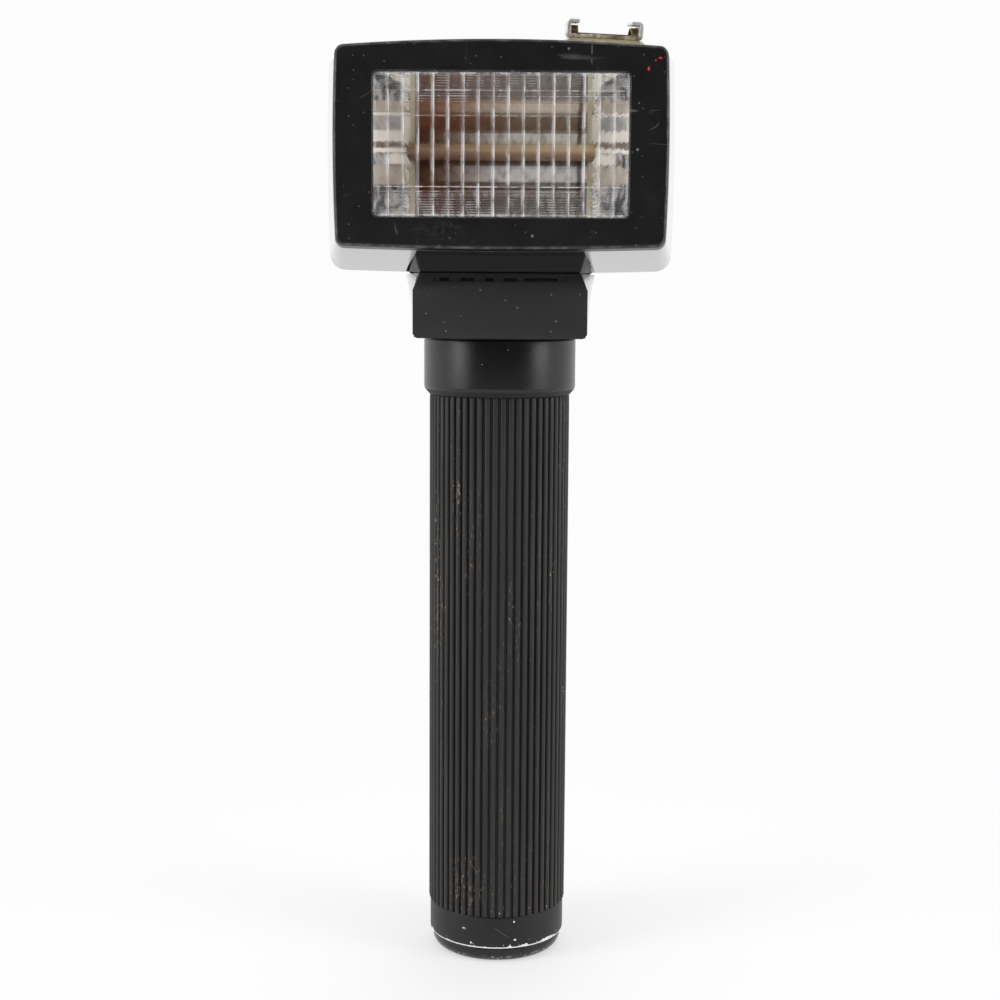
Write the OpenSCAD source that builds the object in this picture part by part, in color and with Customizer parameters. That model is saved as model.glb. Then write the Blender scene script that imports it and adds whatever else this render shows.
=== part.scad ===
// Handle mount flash: a ribbed battery handle, a swivelling neck and a tilting lamp head.
// Millimetres. Z runs up the handle's axis and the lamp looks along -Y. The origin is the middle
// of the face that the handle stands on.

/* [Batteries and handle tube] */
// Radius of one battery cell
cell_r = 7.25; // [6.9:0.05:7.5]
// Length of one battery cell with its nub
cell_len = 50.5; // [48:0.1:52]
// Height of the nub on a cell
cell_nub = 1.2; // [0.8:0.1:1.6]
// Room between the three cells and the bore of the handle tube
cell_gap = 0.58; // [0.4:0.02:1]
// Wall of the handle tube
tube_wall = 1.6; // [1.2:0.1:2.2]
// Thickness of each plate of the battery holder
holder_plate = 1.6; // [1.2:0.1:2.4]
// Radius of the three rails that join those plates
holder_rail_r = 1.8; // [1.2:0.1:2.2]
// Thickness of the contact board above the battery holder
contact_board_t = 1.6; // [1:0.1:2.4]
// Length of the main capacitor
capacitor_len = 39; // [30:0.5:48]
// Wall of the rubber cradle round the capacitor
cradle_wall = 1.2; // [0.8:0.1:2]
// Height of that cradle
cradle_h = 12; // [6:0.5:20]
// Free room above the capacitor, up to the collar
capacitor_room = 2.3; // [1.5:0.1:6]

/* [Grip] */
// Thickness of the grip sleeve over its ribs
grip_wall = 2.2; // [1.8:0.1:3]
// Number of ribs round the grip
rib_count = 56; // [44:1:60]
// Width of the groove between two ribs
rib_groove = 0.6; // [0.4:0.05:0.8]
// Depth of that groove
rib_depth = 0.95; // [0.6:0.05:1.2]
// Radius of the rounded shoulders of each rib
rib_round = 0.35; // [0.2:0.05:0.4]

/* [Base ring and battery cap] */
// Radius of the smooth ring under the grip
band_r = 19.6; // [19:0.1:21]
// Height of that ring
band_h = 9.45; // [9:0.05:14]
// Radius of the battery cap
cap_r = 19.5; // [19:0.1:21]
// Height of the battery cap under the ring
cap_h = 4.1; // [3.6:0.1:6]
// Radius of the rounded rim of the cap
cap_round = 3; // [1.5:0.1:3.2]
// Thickness of the floor of the cap
cap_floor = 2.6; // [2:0.1:3]
// Wall of the spigot on the cap
spigot_wall = 1.9; // [1.4:0.1:2.6]
// Thickness of the ring's lip that the bayonet lugs turn behind
ring_lip = 3; // [2:0.1:4]
// Height of a bayonet lug
lug_h = 2.5; // [1.8:0.1:3]
// Width of a bayonet lug
lug_w = 8; // [5:0.5:10]
// Turn from locked to free
cap_turn = 60; // [45:5:80]
// Radius of the two half-moon finger recesses under the cap
finger_r = 11; // [8:0.5:13]
// Width of the bar left between them, which turns the cap
finger_bar = 5; // [4:0.5:8]
// Depth of those recesses
finger_d = 1.2; // [0.8:0.1:1.4]
// Room for the contact spring, from the contact disc up to the battery holder
spring_room = 9; // [8:0.1:12]
// Radius of the spring wire
spring_wire_r = 0.45; // [0.3:0.05:0.6]
// Turns of the spring
spring_turns = 4; // [3:1:5]

/* [Collar and swivel] */
// Radius of the smooth collar, the seat for a bracket ring
collar_r = 21.6; // [21:0.1:24]
// Height of that seat
collar_seat_h = 14; // [11:0.1:20]
// Height of the chamfer under the seat
collar_chamfer = 1.9; // [1:0.1:3]
// How far the handle tube goes up into the collar
tube_insert = 9.5; // [7:0.1:9.8]
// Radius of the swivel tube of the neck
swivel_r = 11.94; // [10:0.02:13]
// Radial running clearance of the swivel tube and of the hinges
run_gap = 0.06; // [0.03:0.01:0.1]
// Thickness of the friction washer under the neck
friction_t = 0.5; // [0.3:0.1:1]
// Thickness of the circlip and of the thrust washer on the swivel tube
circlip_t = 0.9; // [0.6:0.1:1]

/* [Neck] */
// Height of the neck
neck_h = 17.5; // [16:0.1:22]
// Half width of the neck at its foot
neck_half_low = 25.3; // [24.8:0.1:27]
// Half width of the neck where it flares out under the head
neck_half_top = 27.6; // [26:0.1:30]
// Radius of the neck's back corners, seen from above
neck_corner = 11; // [6:0.5:13]
// Front face of the neck, where the module seats, forward of the handle's axis
neck_front = 19.6; // [18:0.1:21]
// Back face of the neck, behind the handle's axis
neck_back = 23; // [22.4:0.1:24]
// Radius of the rounded back edge, with the tilt axis at its centre
barrel_r = 6; // [5:0.1:7]
// Radius of the hinge pin
pin_r = 2; // [1.5:0.1:2.4]
// Half length of the hinge pin
pin_half = 24; // [20:0.5:25]

/* [Front module] */
// Half width of the module
module_half = 23.5; // [22:0.1:25]
// Depth of the module, forward of the neck
module_d = 8.4; // [7:0.1:10]
// Height of the chamfered shoulder at its top
shoulder_h = 4.6; // [3:0.1:6]
// How far the shoulder leans in
shoulder_in = 1.8; // [1:0.1:2.2]
// Chamfer of the lower corners
module_chamfer = 1.1; // [0.5:0.1:2]
// Wall of the module
module_wall = 2; // [1.4:0.1:2.6]
// Half width of the recess along the shoulder
recess_half = 18; // [14:0.5:20]
// Depth of that recess
recess_d = 0.5; // [0.3:0.1:0.8]

/* [Head] */
// Depth of the head, from the bezel's face to its back
head_d = 74; // [70:0.5:84]
// How far the bezel's face stands forward of the handle's axis
head_front = 38; // [36:0.5:42]
// Length of the part that flares out behind the bezel
flare_len = 41.6; // [38:0.2:46]
// Taper of that part, in degrees
taper = 7.8; // [6:0.1:9]
// Half width of the bezel
bezel_half = 43.6; // [42:0.1:46]
// Height of the bezel
bezel_h = 53.6; // [50:0.1:58]
// Depth of the bezel
bezel_d = 4; // [3.6:0.1:6]
// Corner radius of the bezel
bezel_corner = 2.4; // [1.5:0.1:4]
// Corner radius at the back of the head
back_corner = 4.5; // [3:0.1:7]
// Crown of the head's top
top_bow = 1.5; // [1:0.1:3]
// Crown of the head's sides
side_bow = 0.5; // [0.3:0.1:2]
// Crown of the head's underside
floor_bow = 0.7; // [0.3:0.1:1]
// Wall of the head's shells
head_wall = 2.2; // [1.8:0.1:2.8]
// Gap between the neck and the head
tilt_gap = 0.4; // [0.3:0.05:0.6]

/* [Lens and reflector] */
// Half width of the window
window_half = 33.4; // [30:0.1:35]
// Height of the window
window_h = 37.2; // [34:0.1:38]
// Corner radius of the window
window_corner = 1.3; // [0.6:0.1:3]
// Flange of the lens behind the bezel
lens_flange = 2; // [1:0.1:2.4]
// Number of upright flutes on the lens
flute_count = 17; // [11:2:23]
// Height of one flute's crown
flute_crown = 0.15; // [0.1:0.05:0.5]
// Pitch of the steps on the back of the lens
step_pitch = 0.66; // [0.5:0.02:1]
// Depth of those steps
step_d = 0.45; // [0.2:0.05:0.6]
// Height of the stepped zone at the top of the lens
steps_top_h = 11.2; // [6:0.2:13]
// Height of the stepped zone at the foot of the lens
steps_low_h = 8.4; // [5:0.2:12]
// Thickness of the reflector sheet
sheet_t = 0.5; // [0.3:0.1:0.8]
// Focal length of the reflector trough
focus = 3.5; // [3.3:0.1:3.8]
// Radius of the flash tube
flash_r = 2.25; // [1.8:0.05:2.6]
// Half length of the flash tube's glass
flash_half = 29; // [28.5:0.1:30]
// Half width of the trough between the cheeks, at its back
cheek_half = 23.8; // [22:0.1:25]

/* [Back panel] */
// Half width of the back panel
panel_half = 40.3; // [38:0.1:41]
// Height of the back panel
panel_h = 46.6; // [44:0.1:50]
// Thickness of the back panel
panel_t = 2.2; // [2:0.1:2.6]
// Radius of the calculator dial
dial_r = 19.5; // [16:0.1:19.8]
// Thickness of the dial
dial_t = 2.4; // [1.8:0.1:3]
// Grip notches round the dial
dial_notches = 48; // [30:1:60]
// Radius of the dial's hub
hub_r = 3; // [2.4:0.1:4]
// Radius of the test button
button_r = 3.94; // [3:0.02:4.4]
// Travel of the test button
button_travel = 1.2; // [0.8:0.1:1.5]
// Travel of the power switch
switch_travel = 6; // [4:0.5:7]
// Radius of the ready lamp
lamp_r = 3; // [2:0.1:3.4]
// Radius of the bore of the sync socket
sync_r = 1.75; // [1.5:0.05:2]
// Depth of that bore
sync_depth = 4.6; // [3.5:0.1:5]

/* [Accessory shoe] */
// Width of the slot between the rails
shoe_slot = 18.65; // [18:0.05:19.5]
// Length of the shoe
shoe_len = 18; // [15:0.5:20]
// Thickness of its metal
shoe_t = 1; // [0.8:0.1:1.4]
// Height of the slot under the lips
shoe_slot_h = 2.9; // [2.2:0.1:3.4]
// Length of a lip, from the outside of its rail
shoe_lip = 3.3; // [2.8:0.1:4]
// Place of the shoe to the right of the middle
shoe_x = 28; // [20:0.5:30]
// Front edge of the shoe, behind the bezel's face
shoe_back = 24; // [18:0.5:28]
// Thickness of the glue under the shoe, where it is thinnest
glue_t = 1; // [0.7:0.1:2.6]

/* [Hidden] */
$fn = 96;

// A cut passes this far beyond the face that it opens.
over = 1;
// Fixed pieces that fit round each other keep this radial gap.
fit_gap = 0.05;
// Pieces that face each other across a joint, or end to end, keep this gap.
seat_gap = 0.3;
// Pieces stacked along a joint's axis keep this end gap.
end_gap = 0.1;
// Thickness of stamped contacts.
contact_t = 0.5;

// Handle stack, from the foot up.
cap_gap = 0.15;
cluster_r = cell_r * (1 + 2 / sqrt(3));
cell_ring = cell_r * 2 / sqrt(3);
bore_r = cluster_r + cell_gap;
tube_r = bore_r + tube_wall;
grip_r = tube_r + grip_wall;
band_z = cap_h + cap_gap;
grip_z = band_z + band_h;
lug_z = band_z + ring_lip + seat_gap;
tube_z = lug_z + lug_h + seat_gap;
lug_r = tube_r - seat_gap;
lip_r = bore_r + 2 * end_gap;
spigot_r = lip_r - seat_gap;
seal_groove = 0.6;
seal_in = spigot_r + seat_gap;
seal_out = cap_r - 0.9;
contact_z = cap_floor + contact_t;
holder_z = contact_z + spring_room + seat_gap;
cell_play = 0.4;
layer_h = cell_len + cell_play;
holder_h = 3 * holder_plate + 2 * layer_h;
holder_r = bore_r - seat_gap;
contact_board_z = holder_z + holder_h + seat_gap;
capacitor_z = contact_board_z + contact_board_t + seat_gap;
capacitor_r = bore_r - fit_gap - cradle_wall - fit_gap;
grip_top = capacitor_z + capacitor_len + capacitor_room;
collar_z = grip_top + collar_chamfer;
collar_top = collar_z + collar_seat_h;
tube_top = grip_top + tube_insert;
web_z = tube_top + end_gap;

// Neck.
neck_z = collar_top + friction_t + end_gap;
neck_top = neck_z + neck_h;
swivel_wall = 2.9;
swivel_tail = 2.2;
thrust_t = circlip_t * 2 / 3;
thrust_z = web_z - 2 * end_gap - thrust_t;
circlip_z = thrust_z - end_gap - circlip_t;
swivel_z = circlip_z - swivel_tail;
tilt_y = neck_back - barrel_r;
tilt_z = neck_top - barrel_r;
lug_half_in = 11;
lug_half_out = 17;
knuckle_r = barrel_r - tilt_gap;
lug_side_gap = 0.8;
tongue_x = 10;
tongue_w = 6;
tongue_h = 5;
tongue_d = 3;
// Middle and half width of each aperture in the recess, as shares of its half width.
apertures = [[-0.83, 0.07], [-0.49, 0.1], [-0.16, 0.06], [0.15, 0.1], [0.61, 0.25]];
recess_h = 1.7;
aperture_h = 1;
aperture_d = 2;

// Head: floor and top at the back, bezel in front.
head_z = neck_top + tilt_gap;
flare = flare_len * tan(taper);
head_y = -head_front;
flare_y = head_y + flare_len;
back_y = head_y + head_d;
bezel_z = head_z + flare;
head_mid = bezel_z + bezel_h / 2;
foot_half_low = module_half - shoulder_in;
foot_step = 1.4;
foot_half_back = neck_half_top - foot_step;
foot_front = neck_front + module_d;
foot_slope = 0.27;
foot_lean = foot_slope * (bezel_z - head_z);
sill_inset = 0.8;
sill_set = 1.2;
sill_half = foot_half_low - sill_inset;
sill_y = -neck_front + sill_set;
sill_back_half = foot_half_back - sill_inset;
sill_back_y = flare_y - 3 * sill_set;
sill_w = 1.4;
sill_in = 0.6;
bracket_half = 24;
bracket_t = 2;
bracket_z = head_z + head_wall + floor_bow / 2;
bracket_y = tilt_y - 10;
bracket_d = 22;
screw_r = 1.25;
screw_head_r = 2.3;
screw_head_h = 1.2;
bracket_screw_len = bracket_t + 0.8 * head_wall + floor_bow / 2;

// Lens, reflector and lamp.
bezel_back = head_y + bezel_d;
lens_sink = 0.4;
lens_web = 1.1;
lens_flange_t = 1.4;
lens_face = head_y + lens_sink;
lens_base = lens_face + flute_crown + lens_web;
lens_back = lens_base + lens_flange_t;
flute_pitch = 2 * (window_half - fit_gap) / flute_count;
flute_r = (pow(flute_pitch / 2, 2) + pow(flute_crown, 2)) / (2 * flute_crown);
trough_y = lens_back + 2 * end_gap;
trough_half = window_h / 2 - 2 * end_gap;
trough_len = window_half + sheet_t + end_gap;
vertex_y = trough_y + pow(trough_half, 2) / (4 * focus);
focus_y = vertex_y - focus;
cheek_back_y = vertex_y - 3 * sheet_t;
flash_glass = 0.7;
electrode_in = 5;
electrode_cap = 2.4;

// Back panel and what it carries.
panel_stand = 0.2;
panel_y = back_y - panel_t + panel_stand;
panel_face = panel_y + panel_t;
panel_corner = 4;
ledge = 5.3;
ledge_t = 1.6;
rear_wall = ledge_t + panel_t - panel_stand;
panel_screw_sink = 1;
panel_screw_len = panel_t - panel_screw_sink + ledge_t;
// Each control keeps its distance from the panel's edges.
dial_inset = 26.3;
button_inset = 11.8;
lamp_step = 11.5;
switch_inset = 19.3;
sync_inset = 9.3;
upper_inset = 11.3;
switch_drop = 15.2;
sync_rise = 10.3;
dial_x = dial_inset - panel_half;
button_x = panel_half - button_inset;
lamp_x = button_x - lamp_step;
switch_x = panel_half - switch_inset;
sync_x = panel_half - sync_inset;
upper_row = panel_h / 2 - upper_inset;
switch_row = upper_row - switch_drop;
sync_row = sync_rise - panel_h / 2;
scale_t = 0.8;
dial_y = panel_face + scale_t + 2 * end_gap;
hub_stud_r = 1.5;
sync_body_r = 3;
board_y = 14;
board_t = 1.6;
board_half = 38;
board_h = 46;
board_post_x = 30;
board_post_z = 21;
board_post_r = 2.4;
stem_len = 2.6;
flange_t = 1.2;
slider_half = 3;
slider_neck = 2;
slider_flange_half = 4.5;
slider_flange_t = 0.8;

// Accessory shoe: it lies on the sloping, crowned top of the head.
shoe_y = head_y + shoe_back;
shoe_half = shoe_slot / 2 + shoe_t;
shoe_h = 2 * shoe_t + shoe_slot_h;
leaf_t = 0.35;

// Shape helpers.

// Points of a closed outline in reverse order.
function reversed(p) = [for (i = [len(p) - 1:-1:0]) p[i]];

// Faces of a loft through m rings of n points.
function loft_faces(n, m) = concat(
    [reversed([for (i = [0:n - 1]) i])],
    [for (k = [0:m - 2], i = [0:n - 1], h = [0, 1])
        let (a = k * n + i, b = k * n + (i + 1) % n)
        h == 0 ? [a, b, b + n] : [a, b + n, a + n]],
    [[for (i = [0:n - 1]) (m - 1) * n + i]]);

module loft(rings) {
    polyhedron(points = [for (r = rings, p = r) p],
               faces = loft_faces(len(rings[0]), len(rings)), convexity = 6);
}

function arc(cx, cz, r, from, steps) =
    [for (i = [0:steps]) let (a = from + 90 * i / steps) [cx + r * cos(a), cz + r * sin(a)]];

// A crowned rectangle in X and Z: four corner arcs joined by parabolas that swell outwards.
function crowned(half, low, high, side, top, bottom, r, steps = 8, turn = 6) =
    let (cx = half - side - r, zb = low + bottom + r, zt = high - top - r,
         zm = (zb + zt) / 2, hz = (zt - zb) / 2,
         t = [for (i = [1:steps - 1]) -1 + 2 * i / steps])
    concat([for (u = t) [u * cx, low + bottom * u * u]], arc(cx, zb, r, 270, turn),
           [for (u = t) [half - side * u * u, zm + u * hz]], arc(cx, zt, r, 0, turn),
           [for (u = t) [-u * cx, high - top * u * u]], arc(-cx, zt, r, 90, turn),
           [for (u = t) [-half + side * u * u, zm - u * hz]], arc(-cx, zb, r, 180, turn));

// The head's outline at depth y, drawn in by inset on every side.
function head_ring(y, inset = 0) =
    let (s = min(1, (y - head_y) / flare_len), out = s * flare - inset,
         r = max(0.6, bezel_corner + s * (back_corner - bezel_corner) - inset))
    [for (p = crowned(bezel_half + out, bezel_z - out, bezel_z + bezel_h + out,
                      side_bow, top_bow, floor_bow, r)) [p[0], y, p[1]]];

// Height of the head's top at depth y, off the middle by x.
function head_top(x, y) =
    let (s = min(1, (y - head_y) / flare_len), out = s * flare,
         r = bezel_corner + s * (back_corner - bezel_corner), cx = bezel_half + out - side_bow - r)
    bezel_z + bezel_h + out - top_bow * pow(x / cx, 2);

// Half width of the module at a height, where the neck meets it.
function module_width(z) = module_half - shoulder_in * max(0, (z - neck_top) / shoulder_h + 1);

// Plan of the neck at a height: as wide as the module in front, then swelling to rounded back corners.
function neck_ring(z, half) =
    let (cx = half - neck_corner, yb = neck_back - neck_corner, mouth = module_width(z), run = yb + neck_front,
         side = [for (i = [0:5]) let (s = i / 6, out = s * (4 - pow(s, 3)) / 3)
                 [mouth + (half - mouth) * out, s * run - neck_front]])
    reversed([for (p = concat(side, arc(cx, yb, neck_corner, 0, 6), arc(-cx, yb, neck_corner, 90, 6),
                              reversed([for (q = side) [-q[0], q[1]]])))
              [p[0], p[1], z]]);

// Half width of the neck: a straight flare that opens faster near the head.
function neck_half(t) = neck_half_low + (neck_half_top - neck_half_low) * (0.7 * t + 0.3 * pow(t, 6));

module ring(r_out, r_in, h) {
    difference() {
        cylinder(r = r_out, h = h);
        translate([0, 0, -over]) cylinder(r = r_in, h = h + 2 * over);
    }
}

// A cylinder along +X, or along +Y, from the place it is drawn at.
module rod_x(r, len) rotate([0, 90, 0]) cylinder(r = r, h = len);
module rod_y(r, len) rotate([-90, 0, 0]) cylinder(r = r, h = len);

// A flat outline in X and Z, given thickness along +Y.
module slab_y(t) translate([0, t, 0]) rotate([90, 0, 0]) linear_extrude(t) children();

// An outline in Y and Z, given width along +X.
module slab_x(w) rotate([90, 0, 90]) linear_extrude(w) children();

module rounded_rect(half_x, half_z, r) {
    square([2 * half_x, 2 * (half_z - r)], center = true);
    square([2 * (half_x - r), 2 * half_z], center = true);
    for (sx = [-1, 1], sz = [-1, 1]) translate([sx * (half_x - r), sz * (half_z - r)]) circle(r);
}

// A cheese head screw that points down, with its head's seat at the origin.
module screw(r, len, head_r, head_h) {
    translate([0, 0, -len]) cylinder(r = r, h = len);
    difference() {
        cylinder(r = head_r, h = head_h);
        for (a = [0, 90]) rotate([0, 0, a])
            translate([-head_r * 0.7, -0.35, head_h * 0.4]) cube([head_r * 1.4, 0.7, head_h]);
    }
}

// Handle.

module handle_tube() {
    color("dimgray") translate([0, 0, tube_z]) ring(tube_r, bore_r, tube_top - tube_z);
}

// Ribs are what is left between narrow grooves. Each groove has two rounded shoulders.
module rib_groove_cut() {
    wide = rib_groove / 2 + rib_round;
    translate([-rib_groove / 2, grip_r - rib_depth]) square([rib_groove, rib_depth + over]);
    difference() {
        translate([-wide, grip_r - rib_round]) square([2 * wide, rib_round + over]);
        for (s = [-1, 1]) translate([s * wide, grip_r - rib_round]) circle(rib_round, $fn = 24);
    }
}

module grip_sleeve() {
    color("black") translate([0, 0, grip_z]) linear_extrude(grip_top - grip_z) difference() {
        circle(grip_r);
        circle(tube_r + fit_gap);
        for (i = [0:rib_count - 1]) rotate(i * 360 / rib_count) rib_groove_cut();
    }
}

// Lugs of the cap pass up through two notches in the ring's lip and turn behind it.
module base_ring() {
    notch_w = lug_w + 2 * seat_gap;
    color("black") difference() {
        translate([0, 0, band_z]) cylinder(r = band_r, h = band_h);
        translate([0, 0, band_z - over]) cylinder(r = lip_r, h = band_h);
        translate([0, 0, band_z + ring_lip]) cylinder(r = tube_r + fit_gap, h = band_h);
        rotate([0, 0, cap_turn]) intersection() {
            translate([0, 0, band_z - over]) cylinder(r = tube_r, h = band_h);
            translate([-band_r, -notch_w / 2, band_z - over])
                cube([2 * band_r, notch_w, ring_lip + 2 * over]);
        }
    }
}

module handle_collar() {
    edge = 0.4;
    color("black") rotate_extrude() polygon([
        [tube_r + fit_gap, grip_top], [grip_r, grip_top], [collar_r, collar_z],
        [collar_r, collar_top - edge], [collar_r - edge, collar_top], [swivel_r + run_gap, collar_top],
        [swivel_r + run_gap, web_z], [tube_r + fit_gap, web_z]]);
}

module at_cells() {
    for (i = [0:2]) rotate([0, 0, 90 + 120 * i]) translate([cell_ring, 0, 0]) children();
}

module battery_holder() {
    rail_ring = holder_r - holder_rail_r - end_gap;
    color("dimgray") {
        for (i = [0:2]) translate([0, 0, holder_z + i * (holder_plate + layer_h)])
            cylinder(r = holder_r, h = holder_plate);
        for (i = [0:2]) rotate([0, 0, 30 + 120 * i]) translate([rail_ring, 0, holder_z])
            cylinder(r = holder_rail_r, h = holder_h);
    }
}

module battery_cells() {
    nub_r = 2.7;
    color("silver") for (layer = [0, 1])
        translate([0, 0, holder_z + holder_plate + layer * (holder_plate + layer_h)]) at_cells() {
            cylinder(r = cell_r, h = cell_len - cell_nub);
            cylinder(r = nub_r, h = cell_len);
        }
}

module battery_contacts() {
    pad_r = 9;
    tab_r = 4;
    tab_t = cell_play - fit_gap;
    color("gold") {
        translate([0, 0, holder_z - seat_gap]) cylinder(r = pad_r, h = seat_gap);
        for (layer = [0, 1]) at_cells()
            translate([0, 0, holder_z + holder_plate + layer_h - tab_t + layer * (holder_plate + layer_h)])
                cylinder(r = tab_r, h = tab_t);
    }
}

module contact_board() {
    wire_hole = 3;
    color("darkgreen") translate([0, 0, contact_board_z]) ring(holder_r, wire_hole, contact_board_t);
}

// The can has a rolled bead near its foot and a dished top.
module main_capacitor() {
    bead = 0.6;
    bead_z = 4;
    color("midnightblue") translate([0, 0, capacitor_z]) rotate_extrude() difference() {
        square([capacitor_r, capacitor_len]);
        translate([capacitor_r, bead_z]) circle(bead, $fn = 32);
        translate([-over, capacitor_len - bead]) square([capacitor_r - 2 * bead + over, 2 * bead]);
    }
}

module capacitor_cradle() {
    place = capacitor_z + capacitor_len / 2 - cradle_h / 2;
    color("black") translate([0, 0, place]) ring(bore_r - fit_gap, capacitor_r + fit_gap, cradle_h);
}

module swivel_washer() {
    margin = 1.8;
    color("ivory") translate([0, 0, collar_top]) ring(collar_r - margin, swivel_r + margin, friction_t);
}

// Battery cap.

// Half section of the cap: flat below, with a rounded rim.
module cap_section() {
    intersection() {
        square([cap_r, cap_h]);
        union() {
            square([cap_r - cap_round, cap_h]);
            translate([0, cap_round]) square([cap_r, cap_h]);
            translate([cap_r - cap_round, cap_round]) circle(cap_round);
        }
    }
}

// Two half-moon recesses for thumb and finger, with a bar between them.
module finger_recesses() {
    difference() {
        translate([0, 0, -over]) cylinder(r = finger_r, h = finger_d + over);
        translate([-finger_r - over, -finger_bar / 2, -2 * over])
            cube([2 * (finger_r + over), finger_bar, finger_d + 4 * over]);
    }
}

module battery_cap() {
    color("black") difference() {
        union() {
            rotate_extrude() cap_section();
            cylinder(r = spigot_r, h = lug_z + lug_h);
            intersection() {
                translate([0, 0, lug_z]) cylinder(r = lug_r, h = lug_h);
                translate([-band_r, -lug_w / 2, lug_z - over])
                    cube([2 * band_r, lug_w, lug_h + 2 * over]);
            }
        }
        translate([0, 0, cap_floor]) cylinder(r = spigot_r - spigot_wall, h = band_h + cap_h);
        translate([0, 0, cap_h - seal_groove]) ring(seal_out, seal_in, seal_groove + over);
        finger_recesses();
    }
}

module cap_contact() {
    color("gold") translate([0, 0, cap_floor])
        cylinder(r = spigot_r - spigot_wall - seat_gap, h = contact_t);
}

// A conical helix of round wire: rings of points square to the wire, turned about the axis.
module cap_spring() {
    sides = 8;
    per_turn = 18;
    wide = 6.5;
    narrow = 4;
    count = spring_turns * per_turn;
    rise = spring_room - seat_gap - 2 * spring_wire_r;
    rings = [for (k = [0:count])
        let (s = k / count, a = 360 * k / per_turn, r = wide + (narrow - wide) * s,
             z = contact_z + spring_wire_r + rise * s)
        [for (i = [0:sides - 1])
            let (b = 360 * i / sides, q = r + spring_wire_r * cos(b))
            [q * cos(a), q * sin(a), z + spring_wire_r * sin(b)]]];
    color("silver") loft(rings);
}

module cap_seal() {
    color("black") translate([0, 0, cap_h - seal_groove])
        ring(seal_out - fit_gap, seal_in + fit_gap, seal_groove + cap_gap - fit_gap);
}

// Neck.

// Side view of the neck: the back edge is a quarter barrel about the tilt axis.
module neck_side() {
    translate([-neck_front - over, neck_z]) square([neck_front + over + tilt_y, neck_h]);
    translate([tilt_y - over, neck_z]) square([barrel_r + over, neck_h - barrel_r]);
    translate([tilt_y, tilt_z]) circle(barrel_r);
}

// Room for one lug of the tilt bracket, open to the top and to the back.
module lug_slot() {
    slot = lug_half_out - lug_half_in + 2 * lug_side_gap;
    room = barrel_r;
    translate([lug_half_in - lug_side_gap, tilt_y, tilt_z]) {
        rod_x(room, slot);
        translate([0, -room, 0]) cube([slot, 2 * room + over, barrel_r + over]);
        translate([0, 0, -room]) cube([slot, barrel_r + over, 2 * room]);
    }
}

// Two ridges across the neck's top that stand in grooves of the head's foot and hide the gap.
module sill(gap = 0) {
    for (bar = [[sill_half, sill_y], [sill_back_half, sill_back_y]])
        translate([-bar[0] - gap, bar[1] - gap, neck_top - over])
            cube([2 * (bar[0] + gap), sill_w + 2 * gap, over + tilt_gap + sill_in + gap]);
}

module neck_housing() {
    levels = 7;
    roof = 4;
    color("black") difference() {
        union() {
            intersection() {
                loft([for (i = [0:levels]) let (t = i / levels)
                    neck_ring(neck_z + t * neck_h, neck_half(t))]);
                translate([-neck_half_top - over, 0, 0]) slab_x(2 * (neck_half_top + over)) neck_side();
            }
            translate([0, 0, swivel_z]) cylinder(r = swivel_r, h = neck_z - swivel_z + over);
            sill();
        }
        translate([0, 0, swivel_z - over])
            cylinder(r = swivel_r - swivel_wall, h = neck_top - roof - swivel_z + over);
        translate([0, 0, circlip_z - fit_gap])
            ring(swivel_r + over, swivel_r - circlip_t, circlip_t + 2 * fit_gap);
        lug_slot();
        mirror([1, 0, 0]) lug_slot();
        module_tongues(fit_gap);
        translate([-neck_half_top - over, tilt_y, tilt_z])
            rod_x(pin_r + run_gap, 2 * (neck_half_top + over));
    }
}

// Front view of the module, and its side view: the shoulders lean in at the top.
module module_front() {
    top = neck_top - shoulder_h;
    polygon([[-module_half, neck_z + module_chamfer], [-module_half + module_chamfer, neck_z],
             [module_half - module_chamfer, neck_z], [module_half, neck_z + module_chamfer],
             [module_half, top], [module_half - shoulder_in, neck_top],
             [-module_half + shoulder_in, neck_top], [-module_half, top]]);
}

module module_side() {
    polygon([[-foot_front, neck_z], [-neck_front, neck_z], [-neck_front, neck_top],
             [-foot_front + shoulder_in, neck_top], [-foot_front, neck_top - shoulder_h]]);
}

// Things drawn here lie on the sloping shoulder: X along it, Z up it, Y into the module.
module on_shoulder() {
    lean = atan(shoulder_in / shoulder_h);
    up = 2 / 3;
    translate([0, -foot_front + up * shoulder_in, neck_top - (1 - up) * shoulder_h]) rotate([-lean, 0, 0])
        children();
}

// Two tongues on the module's back snap into pockets in the neck, which are wider by a gap.
module module_tongues(gap = 0) {
    low = neck_z + neck_h / 2 - tongue_h / 2;
    for (s = [-1, 1])
        translate([s * tongue_x - tongue_w / 2 - gap, -neck_front - over, low - gap])
            cube([tongue_w + 2 * gap, over + tongue_d + gap, tongue_h + 2 * gap]);
}

module front_module() {
    pocket_half = tongue_x - tongue_w / 2 - module_wall / 2;
    color("black") difference() {
        union() {
            intersection() {
                translate([0, -foot_front, 0]) slab_y(module_d) module_front();
                translate([-module_half, 0, 0]) slab_x(2 * module_half) module_side();
            }
            module_tongues();
        }
        translate([-pocket_half, -foot_front + module_wall, neck_z + module_wall])
            cube([2 * pocket_half, module_d, neck_h - shoulder_h - 2 * module_wall]);
        on_shoulder() {
            translate([-recess_half, -over, -recess_h / 2])
                cube([2 * recess_half, over + recess_d, recess_h]);
            for (a = apertures)
                translate([(a[0] - a[1]) * recess_half, -over, -aperture_h / 2])
                    cube([2 * a[1] * recess_half, over + aperture_d, aperture_h]);
        }
    }
}

module module_contacts() {
    blade = 0.6;
    color("dimgray") on_shoulder() for (a = apertures)
        translate([(a[0] - a[1]) * recess_half + fit_gap, aperture_d - blade, -aperture_h / 2 + fit_gap])
            cube([2 * a[1] * recess_half - 2 * fit_gap, blade, aperture_h - 2 * fit_gap]);
}

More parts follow.
